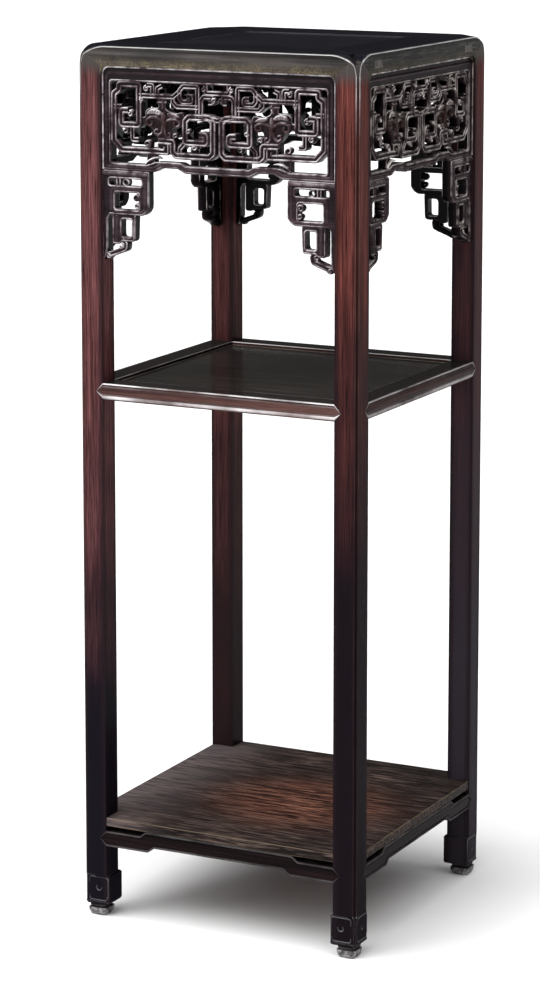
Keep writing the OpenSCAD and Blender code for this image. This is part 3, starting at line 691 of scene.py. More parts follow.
def addCurve(name, paths, closed, unit):
    data = bpy.data.curves.new(name, "CURVE")
    data.dimensions = "3D"
    for path in paths:
        spline = data.splines.new("POLY")
        spline.points.add(len(path) - 1)
        for point, place in zip(spline.points, path):
            x, y = place[0] * unit, place[1] * unit
            z = place[2] * unit if len(place) > 2 else 0
            point.co = (x, y, z, 1)
            point.radius = place[3] if len(place) > 3 else 1
        spline.use_cyclic_u = closed
    return addObject(name, data)


def beadArc(centre, half=0.17, rise=0.085):
    angles = [math.radians(a) for a in range(0, 181, 30)]
    return [(centre + half * math.cos(a), rise * (1 - math.sin(a)), math.sin(a)) for a in angles]


# x across the bar from -0.5 to 0.5, y back from its face from 0 to 1, and how much wear and painted highlight
# each point gets
sections = {
    "bar": [(-0.46, 1.0, 0), (0.46, 1.0, 0), (0.5, 0.96, 0), *beadArc(0.33), (0.08, 0.105, 0), (0, 0.11, 0),
            (-0.08, 0.105, 0), *beadArc(-0.33), (-0.5, 0.96, 0)],
    "bead": [(0.5 * math.cos(a), 0.5 - 0.5 * math.sin(a), max(0.0, math.sin(a)) ** 2)
             for a in (2 * math.pi * i / 12 for i in range(12))],
}
sectionCurves = {name: addCurve(name + "Section", [[point[:2] for point in points]], True, 1)
                 for name, points in sections.items()}
# how strongly a face takes the painted highlight, by which way it looks
rubGlintWeights = {
    "most": anyWood["rubGlintMost"], "least": 0.05, "facing": 0.1,
    "upper": 1.15, "upperPower": 1.5, "upwards": 0.9, "leftwards": 0.5,
    "ledge": 0.27, "ledgePower": 3, "ledgeSteep": 0.2,
    "barEnd": 0.15,
}


def sweepMesh(name, paths, look, closed=False):
    points = sections[look["section"]]
    curve = addCurve(name + "_path", paths, closed, mm)
    modifier = curve.modifiers.new("sweep", "NODES")
    modifier.node_group = sweepTree
    for key, value in (("Section", sectionCurves[look["section"]]), ("Width", look["width"] * mm),
                       ("Depth", look["depth"] * mm), ("Bend Radius", look["bend"] * mm),
                       ("Bend Steps", look.get("steps", 4)), ("Finish", carvedWood["front"])):
        modifier[sweepInput[key]] = value
    shown = curve.evaluated_get(bpy.context.evaluated_depsgraph_get())
    mesh = bpy.data.meshes.new_from_object(shown)
    curve.modifiers.remove(modifier)
    bpy.data.objects.remove(curve)
    count = len(points)
    wearGlint = [sum(points[v % count][2] for v in face.vertices) / len(face.vertices) for face in mesh.polygons]
    rub = look.get("rub", 1.0)
    setWearGlint(mesh, [rub * w if len(face.vertices) == 4 else rubGlintWeights["barEnd"]
                   for w, face in zip(wearGlint, mesh.polygons)])
    setRuddy(mesh, look.get("ruddy", 0.0))
    outward(mesh)
    if not look.get("even"):  # an even line keeps its wear and painted highlight alike all round
        paintLitSides(mesh)
    return mesh


def litSideOf(normal):
    # painted highlight: the upper left edges, which face the light, are lit most
    upper = max(0, rubGlintWeights["upwards"] * normal.y - rubGlintWeights["leftwards"] * normal.x)
    rub = rubGlintWeights["least"] + rubGlintWeights["facing"] * max(0, normal.z)
    rub += rubGlintWeights["upper"] * upper ** rubGlintWeights["upperPower"]
    return min(rubGlintWeights["most"], rub)


def litLedgeOf(normal):
    # painted highlight: the upward-facing sides of the piercing, lit from above
    if abs(normal.z) >= rubGlintWeights["ledgeSteep"]:
        return 0
    return rubGlintWeights["ledge"] * max(0, normal.y) ** rubGlintWeights["ledgePower"]


# paints the highlight onto a sweep's worn faces by which way they look, and onto its ledges
def paintLitSides(mesh):
    wearGlint = mesh.attributes["wearGlint"].data
    for face in mesh.polygons:
        wearGlint[face.index].value = wearGlint[face.index].value * litSideOf(face.normal) + litLedgeOf(face.normal)


def outward(mesh):
    shape = bmesh.new()
    shape.from_mesh(mesh)
    bmesh.ops.recalc_face_normals(shape, faces=shape.faces)
    shape.to_mesh(mesh)
    shape.free()


def bothHalves(paths):
    return paths + [[(-p[0], *p[1:]) for p in path] for path in paths]


def atLevel(paths, level):
    return [[(p[0], p[1], level) for p in path] for path in paths]


def squareCorners(half):
    return [(-half, -half), (half, -half), (half, half), (-half, half)]


# flat pierced plate: the first outline is its edge, the others are its openings
def plateMesh(name, outlines, thick, ease, level, ruddy=0.0, worn=0.0):
    curve = addCurve(name, outlines, True, mm)
    data = curve.data
    data.dimensions = "2D"
    data.fill_mode = "BOTH"
    data.extrude = (thick / 2 - ease) * mm
    data.bevel_depth = ease * mm
    data.bevel_resolution = 1
    data.offset = -ease * mm
    mesh = bpy.data.meshes.new_from_object(curve.evaluated_get(bpy.context.evaluated_depsgraph_get()))
    bpy.data.objects.remove(curve)
    mesh.transform(Matrix.Translation((0, 0, (level - thick / 2) * mm)))
    shape = bmesh.new()
    shape.from_mesh(mesh)
    bmesh.ops.remove_doubles(shape, verts=shape.verts, dist=easing["merge"])
    bmesh.ops.recalc_face_normals(shape, faces=shape.faces)
    wearGlint = []
    for face in shape.faces:
        flat = abs(face.normal.z) > 0.99 or abs(face.normal.z) < 0.05  # all but the eased edges
        face.smooth = False
        # flat faces take the lit ledges' painted highlight, or else the given value, which below nought is a
        # painted shade; eased edges take the painted highlight by which way they face
        wearGlint.append((litLedgeOf(face.normal) or worn) if flat else (1.0 - 0.5 * ruddy) * litSideOf(face.normal))
    shape.to_mesh(mesh)
    shape.free()
    setWearGlint(mesh, wearGlint)
    setRuddy(mesh, ruddy)
    return mesh


def roundCorners(points, radius, steps=4):
    # bends each corner of a closed outline, less where the sides are short
    rounded = []
    for i, here in enumerate(points):
        before, after = Vector(points[i - 1]), Vector(points[(i + 1) % len(points)])
        here = Vector(here)
        toBefore, toAfter = before - here, after - here
        reach = min(radius, 0.45 * min(toBefore.length, toAfter.length))
        start = here + toBefore.normalized() * reach
        end = here + toAfter.normalized() * reach
        for step in range(steps + 1):
            t = step / steps
            rounded.append(tuple((start * (1 - t) + here * t) * (1 - t) + (here * (1 - t) + end * t) * t))
    return rounded


def footCarving():
    onFace = Matrix.Translation((0, -stand["half"] * mm, 0)) @ Matrix.Rotation(math.radians(90), 4, "X")
    lines = sweepMesh("footLines", footLines["paths"], footLines["line"])
    # the leg's other outer face mirrors this one
    overDiagonal = Matrix(((0, -1, 0, 0), (-1, 0, 0, 0), (0, 0, 1, 0), (0, 0, 0, 1)))
    return joinMeshes("footCarving", [(lines, onFace), (lines, overDiagonal @ onFace)])


footMesh = footCarving()
for corner, (x, y) in corners.items():
    node = "leg_" + corner
    fromFrontRight = Matrix.Diagonal((x, -y, 1, 1))
    parts = [(softCopy(node, **easedPieces["leg"]), Matrix.Identity(4)), (footMesh, fromFrontRight)]
    leg = addObject(node + "_wood", joinMeshes(node, parts))
    dressPiece(leg, node, legWood[corner])
print("legs done")


# a fine bead runs round the shelf panel, and a fainter one round the top
panelLines = {
    "line": {"section": "bead", "width": 1.3, "depth": 1.3, "bend": 0.5, "steps": 2, "even": True},
    "shelf_panel": {"half": 145.8, "level": 631.5, "rub": 0.9},
    "top_panel": {"half": 104.2, "level": 1019.3, "rub": 0.25},
}
for name in ("top_panel", "shelf_panel"):
    line = panelLines[name]
    square = atLevel([squareCorners(line["half"])], line["level"])
    bead = sweepMesh(name + "_line", square, {**panelLines["line"], "rub": line["rub"]}, True)
    parts = [(softCopy(name, **easedPieces["panel"]), Matrix.Identity(4)), (bead, Matrix.Identity(4))]
    panel = addObject(name + "_wood", joinMeshes(name, parts))
    dressPiece(panel, name, panelWood[name])
print("panels done")


scrolls = {
    "wide": {"section": "bar", "width": 7.4, "depth": 14.5, "bend": 2.2},
    "slim": {"section": "bar", "width": 5.8, "depth": 13.5, "bend": 1.6},
    "curl": {"section": "bead", "width": 3.4, "depth": 11.0, "bend": 0.6, "steps": 2},
    "wideLevel": -0.4,
    "slimLevel": -1.1,
    "curlLift": 0.8,
    "curlSteps": 14,
    "curlCloses": 0.72,
    "curlThins": 0.3,
    # half a frieze, from its centre line, below the top rail
    "widePaths": [
        [(23, -74), (14.5, -74), (14.5, -83), (40.4, -83), (40.4, -59), (36, -54.5), (10, -54.5), (5.5, -59),
         (5.5, -94), (10, -98.3), (52, -98.3), (56, -94.5), (56, -83), (64, -83)],
        [(113, -50), (121.5, -50), (121.5, -66), (99, -66), (99, -20.5), (124.5, -20.5), (124.5, -27),
         (131, -31.5), (131, -84), (121, -94.3), (72, -94.3)],
    ],
    "slimPaths": [
        [(40.4, -83), (47.5, -90.5), (47.5, -98.3)],
        [(39, -31.5), (33, -31.5), (33, -37.8), (44, -37.8), (47.5, -34), (47.5, -25), (43, -20.3),
         (25, -20.3), (25, -54.5)],
        [(25, -43.3), (51, -43.3), (56, -38.5), (56, -33)],
        [(11.5, -37.5), (7, -37.5), (7, -31), (17, -31), (20.5, -35), (20.5, -54)],
        [(0, -57), (20.5, -52)],
        [(0, -26.8), (14.5, -26.8), (14.5, -15)],
        [(121.5, -46), (131, -46)],
        [(107.5, -66), (107.5, -82.5), (100, -82.5)],
        [(88.5, -20.5), (82, -20.5), (82, -32.7)],
        [(70, -21), (76, -24), (76, -32.7)],
        [(99, -32.7), (56, -32.7), (47.5, -26)],
    ],
    # bar ends that roll up: (centre x, centre y, first angle, turns, outer radius)
    "curls": [(88.5, -86.5, 250, -1.15, 4.6), (116.5, -72.5, 120, 1.1, 3.6), (17.5, -22.5, 90, 1.1, 3.2),
              (89.5, -24.5, 90, -1.1, 3.4), (95.5, -37.0, 270, 1.1, 3.0), (29.0, -88.0, 100, 1.2, 3.6),
              (4.0, -34.5, 270, 1.2, 3.2), (36.5, -70.0, 0, -1.1, 2.8), (110.5, -53.5, 80, 1.1, 3.4),
              (52.5, -76.0, 300, 1.1, 3.0)],
}
border = {
    "plateLevel": -1.6,
    "thick": 13.0,
    "ease": 0.5,
    # the border's flat faces are painted into shade
    "hollowShade": -0.6,
    "side": 11.5,
    "top": 17.5,
    "openingLow": -110.0,
    "openingRound": 4.0,
    "cornerRadius": 10.0,
    "edgeIn": 1.3,
    "rollIn": 5.6,
    "rollDrop": 8.2,
    "beadOut": 1.2,
    "lowerEdge": [(0, -118), (40, -118), (50, -113), (70, -113), (80, -118)],
    "lowerTop": [(0, -109.5), (40, -109.5), (46, -106), (78, -106), (88, -110)],
    "lowRollPath": [(0, -113.7), (41, -113.7), (48, -109.6), (72, -109.6), (82, -114), (139, -114)],
    "edgeBead": {"section": "bead", "width": 2.4, "depth": 2.4, "bend": 8.0, "steps": 8, "rub": 0.5,
                 "even": True},
    "fatRoll": {"section": "bead", "width": 4.8, "depth": 3.6, "bend": 6.0, "steps": 8, "rub": 0.12},
    "innerBead": {"section": "bead", "width": 2.2, "depth": 2.4, "bend": 3.5, "steps": 5},
    "lowBead": {"bend": 4.0, "rub": 0.5},
    "lowRoll": {"rub": 0.3},
    # how far a line stops short of the border's end
    "shorts": {"edgeBead": 1, "fatRoll": 2, "lowBead": 1},
    # how far a line lies out of the frieze's face
    "levels": {"lowRoll": -0.5, "edgeBead": 0, "fatRoll": -0.6, "innerBead": -0.3, "lowBead": -0.3},
}


def mirrored(points):
    return [(-x, y) for x, y in reversed(points)]


def bothEnds(points):
    # from the left end to the right, without the point on the centre line
    return mirrored(points[1:]) + points[1:]


def borderMeshes():
    inner, low = stand["inner"], -stand["friezeHeight"]
    openX, openTop, openLow = inner - border["side"], -border["top"], border["openingLow"]
    lowerEdge, lowerTop = bothEnds(border["lowerEdge"]), bothEnds(border["lowerTop"])
    corner = border["cornerRadius"]
    arc = [(inner - corner + corner * math.cos(a), -corner + corner * math.sin(a))
           for a in (math.radians(d) for d in range(0, 91, 15))]
    edge = [(-inner, low)] + lowerEdge + [(inner, low)] + arc + mirrored(arc)
    opening = [(-openX, openTop), (openX, openTop), (openX, openLow), *reversed(lowerTop), (-openX, openLow)]
    outlines = [edge, roundCorners(opening, border["openingRound"])]
    plate = plateMesh("border", outlines, border["thick"], border["ease"], border["plateLevel"],
                      worn=border["hollowShade"])
    inset, roll, drop, out = border["edgeIn"], border["rollIn"], border["rollDrop"], border["beadOut"]
    shorts = border["shorts"]
    edgeLine = mirrored([(inner - inset, -inset), (inner - inset, low + shorts["edgeBead"])])
    edgeLine += mirrored(edgeLine)
    rollLine = mirrored([(inner - roll, -drop), (inner - roll, low + shorts["fatRoll"])])
    rollLine += mirrored(rollLine)
    beadX, beadTop, beadLow = openX + inset, openTop + inset, openLow - out
    innerLine = [(-beadX, beadTop), (beadX, beadTop), (beadX, beadLow)]
    innerLine += [(x, y - out) for x, y in reversed(lowerTop)] + [(-beadX, beadLow)]
    lowX = inner - shorts["lowBead"]
    lowLine = [(x, y + inset) for x, y in [(-lowX, low), *lowerEdge, (lowX, low)]]
    lines = {
        "lowRoll": (bothEnds(border["lowRollPath"]), {**border["fatRoll"], **border["lowRoll"]}),
        "edgeBead": (edgeLine, border["edgeBead"]),
        "fatRoll": (rollLine, border["fatRoll"]),
        "innerBead": (innerLine, border["innerBead"]),
        "lowBead": (lowLine, {**border["innerBead"], **border["lowBead"]}),
    }
    return [plate] + [sweepMesh(name, atLevel([path], border["levels"][name]), look, name == "innerBead")
                      for name, (path, look) in lines.items()]


friezeParts = borderMeshes()
for name in ("wide", "slim"):
    paths = atLevel(bothHalves(scrolls[name + "Paths"]), scrolls[name + "Level"])
    friezeParts.append(sweepMesh(name + "Scrolls", paths, scrolls[name]))


def curlPath(x, y, angle, turns, radius):
    level = scrolls["slimLevel"] + scrolls["curlLift"]
    path = []
    for i in range(scrolls["curlSteps"] + 1):
        share = i / scrolls["curlSteps"]
        a = math.radians(angle) + 2 * math.pi * turns * share
        r = radius * (1 - scrolls["curlCloses"] * share)
        path.append((x + r * math.cos(a), y + r * math.sin(a), level, 1 - scrolls["curlThins"] * share))
    return path


def ringPath(x, y, radius, level, count):
    angles = [2 * math.pi * i / count for i in range(count)]
    return [(x + radius * math.cos(a), y + radius * math.sin(a), level) for a in angles]


curlPaths = bothHalves([curlPath(*curl) for curl in scrolls["curls"]])
friezeParts.append(sweepMesh("curls", curlPaths, scrolls["curl"]))

# the hanging bats: a pierced backing, rolled wings and tail, and a crest leaf
bat = {
    "level": -2.6,
    "thick": 11.0,
    "ease": 0.8,
    "round": 2.5,
    "roundSteps": 3,
    "ruddy": 0.3,
    # the backing's flat faces are painted into shade
    "hollowShade": -0.35,
    "outline": [(66, -32), (66, -46), (62, -49), (56, -51), (51, -51), (46, -49), (42, -52), (42, -60),
                (50, -66), (56, -67), (57, -71), (60, -77), (62, -84), (61, -98), (75, -98), (75, -84),
                (77, -77), (82, -71), (85, -66), (97, -63), (97, -57), (91, -56), (92, -50), (88, -46.5),
                (80, -45.5), (75, -46), (75, -32)],
    "foot": [(80, -93), (90, -93), (90, -112), (80, -108)],
    "body": {"section": "bead", "width": 7.0, "depth": 6.0, "bend": 0.5, "steps": 2, "ruddy": 1.0,
             "rub": 0.5},
    "bodyPath": [(68, -50, 0, 0.5), (68, -53, 0.3, 0.9), (68, -57, 0.5, 1.3), (67.5, -62, 0.4, 1.15),
                 (67.5, -67, 0, 0.7), (67.5, -70, -0.4, 0.35)],
    "leaf": [(69, -51.5), (73.5, -47.6), (80, -46.2), (86, -48.2), (90, -54), (84, -52.6), (78, -52.4),
             (73, -54)],
    "innerLeaf": [(63, -51), (57, -50.6), (51, -52), (45.5, -56), (52, -56.2), (58, -55.6), (62, -54.5)],
    "leafThick": 5.0,
    "leafEase": 1.2,
    # (out of the face, how red, how much wear and painted highlight)
    "leafLooks": {"leaf": (0.7, 0.3, 0.2), "innerLeaf": (0.3, 0.6, 0.1)},
    "wing": {"section": "bead", "width": 4.4, "depth": 7.0, "bend": 1.5, "steps": 3, "ruddy": 0.7,
             "rub": 0.45},
    # (x, y, out of the face, thickness)
    "wings": [[(70, -60, -0.6, 1.1), (77, -56, -0.2, 1.1), (84, -56, 0, 1), (89, -59, 0, 0.9),
               (89, -64, 0, 0.8), (84.5, -66, 0, 0.7), (81, -63, 0, 0.6), (83, -60.5, 0, 0.5)],
              [(64, -60, -0.6, 1.1), (58, -57.5, -0.2, 1.1), (51, -58, 0, 1), (47, -61, 0, 0.9),
               (48, -65, 0, 0.8), (52.5, -66, 0, 0.7), (55.5, -63, 0, 0.6), (53, -61, 0, 0.5)],
              [(69, -66, -0.4, 1), (70, -73, -0.4, 0.9), (75, -76.5, -0.4, 0.8), (79.5, -73.5, -0.4, 0.7),
               (78, -69.5, -0.4, 0.6), (75, -70.5, -0.4, 0.5)],
              [(66, -66, -0.4, 1), (66, -74, -0.4, 0.9), (63, -79, -0.4, 0.8), (59, -77.5, -0.4, 0.7),
               (59.5, -73.5, -0.4, 0.6), (62, -73.5, -0.4, 0.5)]],
    "ring": {"section": "bead", "width": 3.4, "depth": 5.0, "bend": 0.1, "steps": 1, "ruddy": 0.5,
             "rub": 0.6},
    "ringPaths": [[(64.5, -35.5, -1.6), (76.5, -35.5, -1.6)], [(64.5, -39.5, -1.6), (76.5, -39.5, -1.6)],
                  [(63, -80.5, -1.2), (75, -80.5, -1.2)], [(69, -36, -1.4), (69, -46, -1.2)]],
    "key": {"section": "bead", "width": 2.6, "depth": 4.0, "bend": 0.8, "steps": 2},
    "keyPath": [(75, -97, -0.4), (62, -97, -0.4), (62, -85, -0.4), (74.5, -85, -0.4), (74.5, -92.5, -0.4),
                (67, -92.5, -0.4), (67, -89, -0.4)],
    "leafScroll": [(70, -102, -0.3, 0.4), (75, -101.5, 0, 0.9), (81, -102.5, 0, 1.3), (87, -105.5, 0, 1.1),
                   (91, -109.5, -0.3, 0.5)],
    "studs": [(84.5, -50.2), (81.5, -49.4), (78.2, -49.2), (75, -49.9)],
    "studRadius": 0.75,
    "studLevel": 1.3,
    "studSteps": 8,
    "stud": {"section": "bead", "width": 1.5, "depth": 2.2, "bend": 0.1, "steps": 1},
}


def batPlates(name, outline, *plate):
    for flip in (1, -1):
        points = roundCorners([(flip * x, y) for x, y in outline], bat["round"], bat["roundSteps"])
        friezeParts.append(plateMesh(name, [points], *plate))


for outline in (bat["outline"], bat["foot"]):
    batPlates("bat", outline, bat["thick"], bat["ease"], bat["level"], bat["ruddy"], bat["hollowShade"])
for name, (lift, ruddy, worn) in bat["leafLooks"].items():
    batPlates(name, bat[name], bat["leafThick"], bat["leafEase"], lift, ruddy, worn)
batLines = {
    "batBodies": ([bat["bodyPath"]], bat["body"]),
    "batWings": (bat["wings"], bat["wing"]),
    "batRings": (bat["ringPaths"], bat["ring"]),
    "batKeys": ([bat["keyPath"]], bat["key"]),
    "leafScrolls": ([bat["leafScroll"]], scrolls["curl"]),
}
for name, (paths, look) in batLines.items():
    friezeParts.append(sweepMesh(name, bothHalves(paths), look))
studPaths = [ringPath(x, y, bat["studRadius"], bat["studLevel"], bat["studSteps"]) for x, y in bat["studs"]]
friezeParts.append(sweepMesh("crestStuds", bothHalves(studPaths), bat["stud"], True))

friezeMesh = joinMeshes("friezeDrawn", [(part, uprightFace) for part in friezeParts])
for side in sides:
    node = "frieze_" + side
    frieze = addObject(node + "_carved", joinMeshes(node, [(friezeMesh, turned(side))]))
    dressPiece(frieze, node, carvedWood[side])
print("friezes: faces each", len(friezeMesh.polygons))


bracketLook = {
    # all points are (from the leg inwards, down from the frieze)
    "level": -0.9,
    "thick": 12.4,
    "ease": 0.9,
    "rounds": {"frame": 2.5, "openings": 3.5, "loop": 5.0, "loopOpening": 4.0},
    "lifts": {"rim": 0.7, "edge": 0.7, "roll": 0.8, "frameRoll": 0.8, "hook": 0.4},
    "frame": [(0, 0.2), (59.8, 0.2), (59.8, 42), (56.5, 47), (51, 50.6), (8, 50.6), (6.6, 55), (6.2, 90),
              (4, 98.5), (0, 102.5)],
    "openings": [[(50.6, 9.2), (8.4, 9.2), (8.4, 17.6), (50.6, 17.6)],
                 [(46.6, 24.8), (15.8, 24.8), (15.8, 44.6), (46.6, 44.6)]],
    "loop": [(42.4, 48), (12.4, 48), (12.4, 84), (21, 84), (24.5, 80.8), (41.2, 80.8)],
    "loopOpening": [(37.6, 55.4), (24.2, 55.4), (24.2, 76), (37, 76)],
    "rim": {"section": "bead", "width": 2.3, "depth": 2.8, "bend": 3.5, "steps": 5},
    "rims": [[(47.6, 23.8), (14.8, 23.8), (14.8, 45.6), (47.6, 45.6)],
             [(51.5, 8.4), (7.5, 8.4), (7.5, 18.3), (51.5, 18.3)],
             [(38.6, 54.4), (23.2, 54.4), (23.2, 77), (38, 77)]],
    "edge": {"section": "bead", "width": 2.0, "depth": 2.4, "bend": 2.5, "steps": 4},
    "edges": [[(58.6, 6), (58.6, 42), (55.4, 46), (50.5, 49.2), (9, 49.2)], [(5.4, 54), (5, 90), (3, 97.6)],
              [(41.2, 52), (40, 79.6), (25, 79.6), (21.5, 82.8), (14, 82.8)], [(13.6, 52), (13.6, 82)]],
    "roll": {"section": "bead", "width": 5.6, "depth": 3.6, "bend": 4.0, "steps": 5, "rub": 0.7},
    "rolls": [[(0.5, 4.1), (58.8, 4.1)]],
    "frameRoll": {"section": "bead", "width": 5.6, "depth": 3.6, "bend": 4.0, "steps": 5, "rub": 0.25},
    "frameRolls": [[(54.9, 8), (54.9, 42), (51, 47), (14, 47.4)], [(49, 21), (11.2, 21), (11.2, 46)],
                   [(18, 51), (18, 82)]],
    "hook": {"section": "bar", "width": 6.4, "depth": 12.4, "bend": 3.0, "steps": 5},
    "hooks": [[(25, 80), (29, 83), (28.2, 89), (22, 91.6), (5, 97.6)], [(20.5, 9), (20.5, 18)]],
    # (from the leg, down, first angle, turns, outer radius)
    "curls": [(43.5, 31.0, 200, -1.2, 4.4), (44.5, 39.4, 170, 1.1, 3.6), (23.5, 87.0, 120, 1.1, 2.6),
              (7.6, 97.6, 200, 1.1, 3.0)],
    "ring": {"section": "bead", "width": 2.6, "depth": 9.0, "bend": 0.1, "steps": 1},
    "ringPlace": (30.0, 13.6, 3.6),
    "ringSteps": 24,
}


def onBracket(u, d):
    return stand["inner"] - u, -stand["friezeHeight"] - d


def bracketMeshes():
    level, thick, ease = bracketLook["level"], bracketLook["thick"], bracketLook["ease"]
    rounds, lifts = bracketLook["rounds"], bracketLook["lifts"]

    def outline(name, points):
        return roundCorners([onBracket(*point) for point in points], rounds[name])

    outer = [outline("frame", bracketLook["frame"])]
    outer += [outline("openings", opening) for opening in bracketLook["openings"]]
    loop = [outline(name, bracketLook[name]) for name in ("loop", "loopOpening")]
    parts = [plateMesh("bracketFrame", outer, thick, ease, level),
             plateMesh("bracketLoop", loop, thick, ease, level)]
    for name, lift in lifts.items():
        paths = [[(*onBracket(*point), level + lift) for point in path] for path in bracketLook[name + "s"]]
        parts.append(sweepMesh("bracket_" + name, paths, bracketLook[name], name == "rim"))
    curls = [curlPath(*onBracket(u, d), *roll) for u, d, *roll in bracketLook["curls"]]
    parts.append(sweepMesh("bracketCurls", curls, scrolls["curl"]))
    u, d, radius = bracketLook["ringPlace"]
    circle = ringPath(*onBracket(u, d), radius, level, bracketLook["ringSteps"])
    parts.append(sweepMesh("bracketRing", [circle], bracketLook["ring"], True))
    return parts


bracketMesh = joinMeshes("bracketDrawn", [(part, uprightFace) for part in bracketMeshes()])
bracketEnds = {  # left end and right end, seen from outside
    "front": ("front_left", "front_right"),
    "right": ("right_front", "right_back"),
    "back": ("back_right", "back_left"),
    "left": ("left_back", "left_front"),
}
for side, ends in bracketEnds.items():
    for end, place in zip(ends, (turned(side) @ mirrorX, turned(side))):
        node = "bracket_" + end
        bracket = addObject(node + "_carved", joinMeshes(node, [(bracketMesh, place)]))
        dressPiece(bracket, node, carvedWood[side])
print("brackets: faces each", len(bracketMesh.polygons))


# section points are (behind the face, "top" or "low" edge, height from that edge, wear and painted highlight)
shelfRail = {
    "low": 615.5, "high": 635.0,
    "point": 8.0,
    "section": [(28.5, "top", -0.8, 0), (28.5, "top", -0.7, 0.9), (27.8, "top", 0, 0.9), (27.2, "top", 0, 0),
                (2.2, "top", 0, 0), (0.5, "top", 0, 1), (0, "top", -0.5, 1), (0, "top", -1.2, 1),
                (0.4, "top", -1.6, 0.5), (1.6, "top", -1.8, 0), (1.6, "top", -2.8, 0),
                (1.0, "top", -3.1, 0.2), (0.55, "top", -4.6, 0), (0.2, "top", -6.6, 0),
                (0.05, "top", -8.8, 0), (0.2, "low", 8.8, 0),
                (0.55, "low", 7.2, 0), (1.0, "low", 5.8, 0.2), (1.6, "low", 5.5, 0),
                (0.8, "low", 5.2, 0.6), (0.25, "low", 4.5, 1), (0, "low", 3.3, 1), (0.25, "low", 2.1, 0.7),
                (0.8, "low", 1.4, 0.3), (1.6, "low", 1.1, 0), (1.7, "low", 0.3, 0), (2.1, "low", 0, 0),
                (28.5, "low", 0, 0)],
}
stretcher = {
    "low": 86.5, "high": 105.0,
    "point": 8.0,
    "rise": 6.0,
    "topHump": (93.0, 10.0),
    "lowHump": (83.0, 10.0),
    "section": [(20, "top", 0, 0), (2.4, "top", 0, 0), (1.2, "top", -0.1, 0.6), (0.35, "top", -0.45, 1),
                (0, "top", -1.2, 1), (0.35, "top", -1.95, 1), (1.2, "top", -2.4, 0.4), (1.7, "top", -2.7, 0),
                (1.5, "top", -3.4, 0), (1.2, "top", -5.5, 0), (1.2, "low", 5.5, 0), (1.5, "low", 3.4, 0),
                (1.7, "low", 2.7, 0), (1.2, "low", 2.4, 0.4), (0.35, "low", 1.95, 1), (0, "low", 1.2, 1),
                (0.35, "low", 0.45, 1), (1.2, "low", 0.1, 0.6), (2.4, "low", 0, 0), (20, "low", 0, 0)],
}
railSteps = {"blunt": 0.05, "point": 6, "hump": 8, "smoothWearGlint": 0.35}


def humpHeight(x, hump, rise):
    halfLength, run = hump
    t = min(1, max(0, (halfLength + run - abs(x)) / run))
    return rise * t * t * (3 - 2 * t)


def railMesh(name, look):
    inner = stand["inner"]
    tip = inner + look["point"]
    blunt, pointSteps, humpSteps = (railSteps[key] for key in ("blunt", "point", "hump"))
    stations = {0, inner, tip - blunt}
    stations |= {inner + look["point"] * i / pointSteps for i in range(1, pointSteps)}
    if "rise" in look:
        for halfLength, run in (look["topHump"], look["lowHump"]):
            stations |= {halfLength + run * i / humpSteps for i in range(humpSteps + 1)}
    full = look["high"] - look["low"]
    middle = (look["high"] + look["low"]) / 2
    shape = bmesh.new()
    layer = shape.faces.layers.float.new("wearGlint")
    rings = []
    for x in sorted(stations | {-x for x in stations}):
        top, low = look["high"], look["low"]
        if "rise" in look:
            top += humpHeight(x, look["topHump"], look["rise"])
            low += humpHeight(x, look["lowHump"], look["rise"])
        share = 1.0
        if abs(x) > inner:  # the pointed shoulder that laps onto the leg
            share = (tip - abs(x)) / look["point"]
            top, low = middle + full / 2 * share, middle - full / 2 * share
        ring = []
        for back, edge, height, wearGlint in look["section"]:
            z = (top if edge == "top" else low) + height * share
            ring.append(shape.verts.new((x * mm, (-stand["half"] + back) * mm, z * mm)))
        rings.append(ring)
    count = len(look["section"])
    wearGlints = [point[3] for point in look["section"]]
    for first, second in zip(rings, rings[1:]):
        for i in range(count):
            j = (i + 1) % count
            face = shape.faces.new((first[i], first[j], second[j], second[i]))
            face[layer] = (wearGlints[i] + wearGlints[j]) / 2
            face.smooth = wearGlints[i] + wearGlints[j] > railSteps["smoothWearGlint"]
    shape.faces.new(rings[0])
    shape.faces.new(rings[-1])
    bmesh.ops.recalc_face_normals(shape, faces=shape.faces)
    mesh = bpy.data.meshes.new(name)
    shape.to_mesh(mesh)
    shape.free()
    return mesh


mouldedRails = {
    "shelf_rail_": (railMesh("shelfRailDrawn", shelfRail), railWood),
    "stretcher_": (railMesh("stretcherDrawn", stretcher), stretcherWood),
}
for side in sides:
    for kind, (drawn, wood) in mouldedRails.items():
        node = kind + side
        rail = addObject(node + "_wood", joinMeshes(node, [(drawn, turned(side))]))
        dressPiece(rail, node, wood[side])
print("moulded rails done")


pad = {
    "centre": 160.75,
    # half width at each height, up from the floor
    "profile": [(0.0, 8.8), (0.4, 9.6), (1.6, 10.4), (3.2, 11.2), (3.6, 10.9), (4.0, 11.4), (6.0, 12.1),
                (7.8, 12.4), (8.8, 12.1), (9.2, 11.2), (9.5, 9.4), (10.6, 9.2), (11.0, 10.2), (11.6, 10.9),
                (14.0, 11.2)],
    "wornBelow": 9.0,
    "corner": 5.0,
    "around": 48,
}


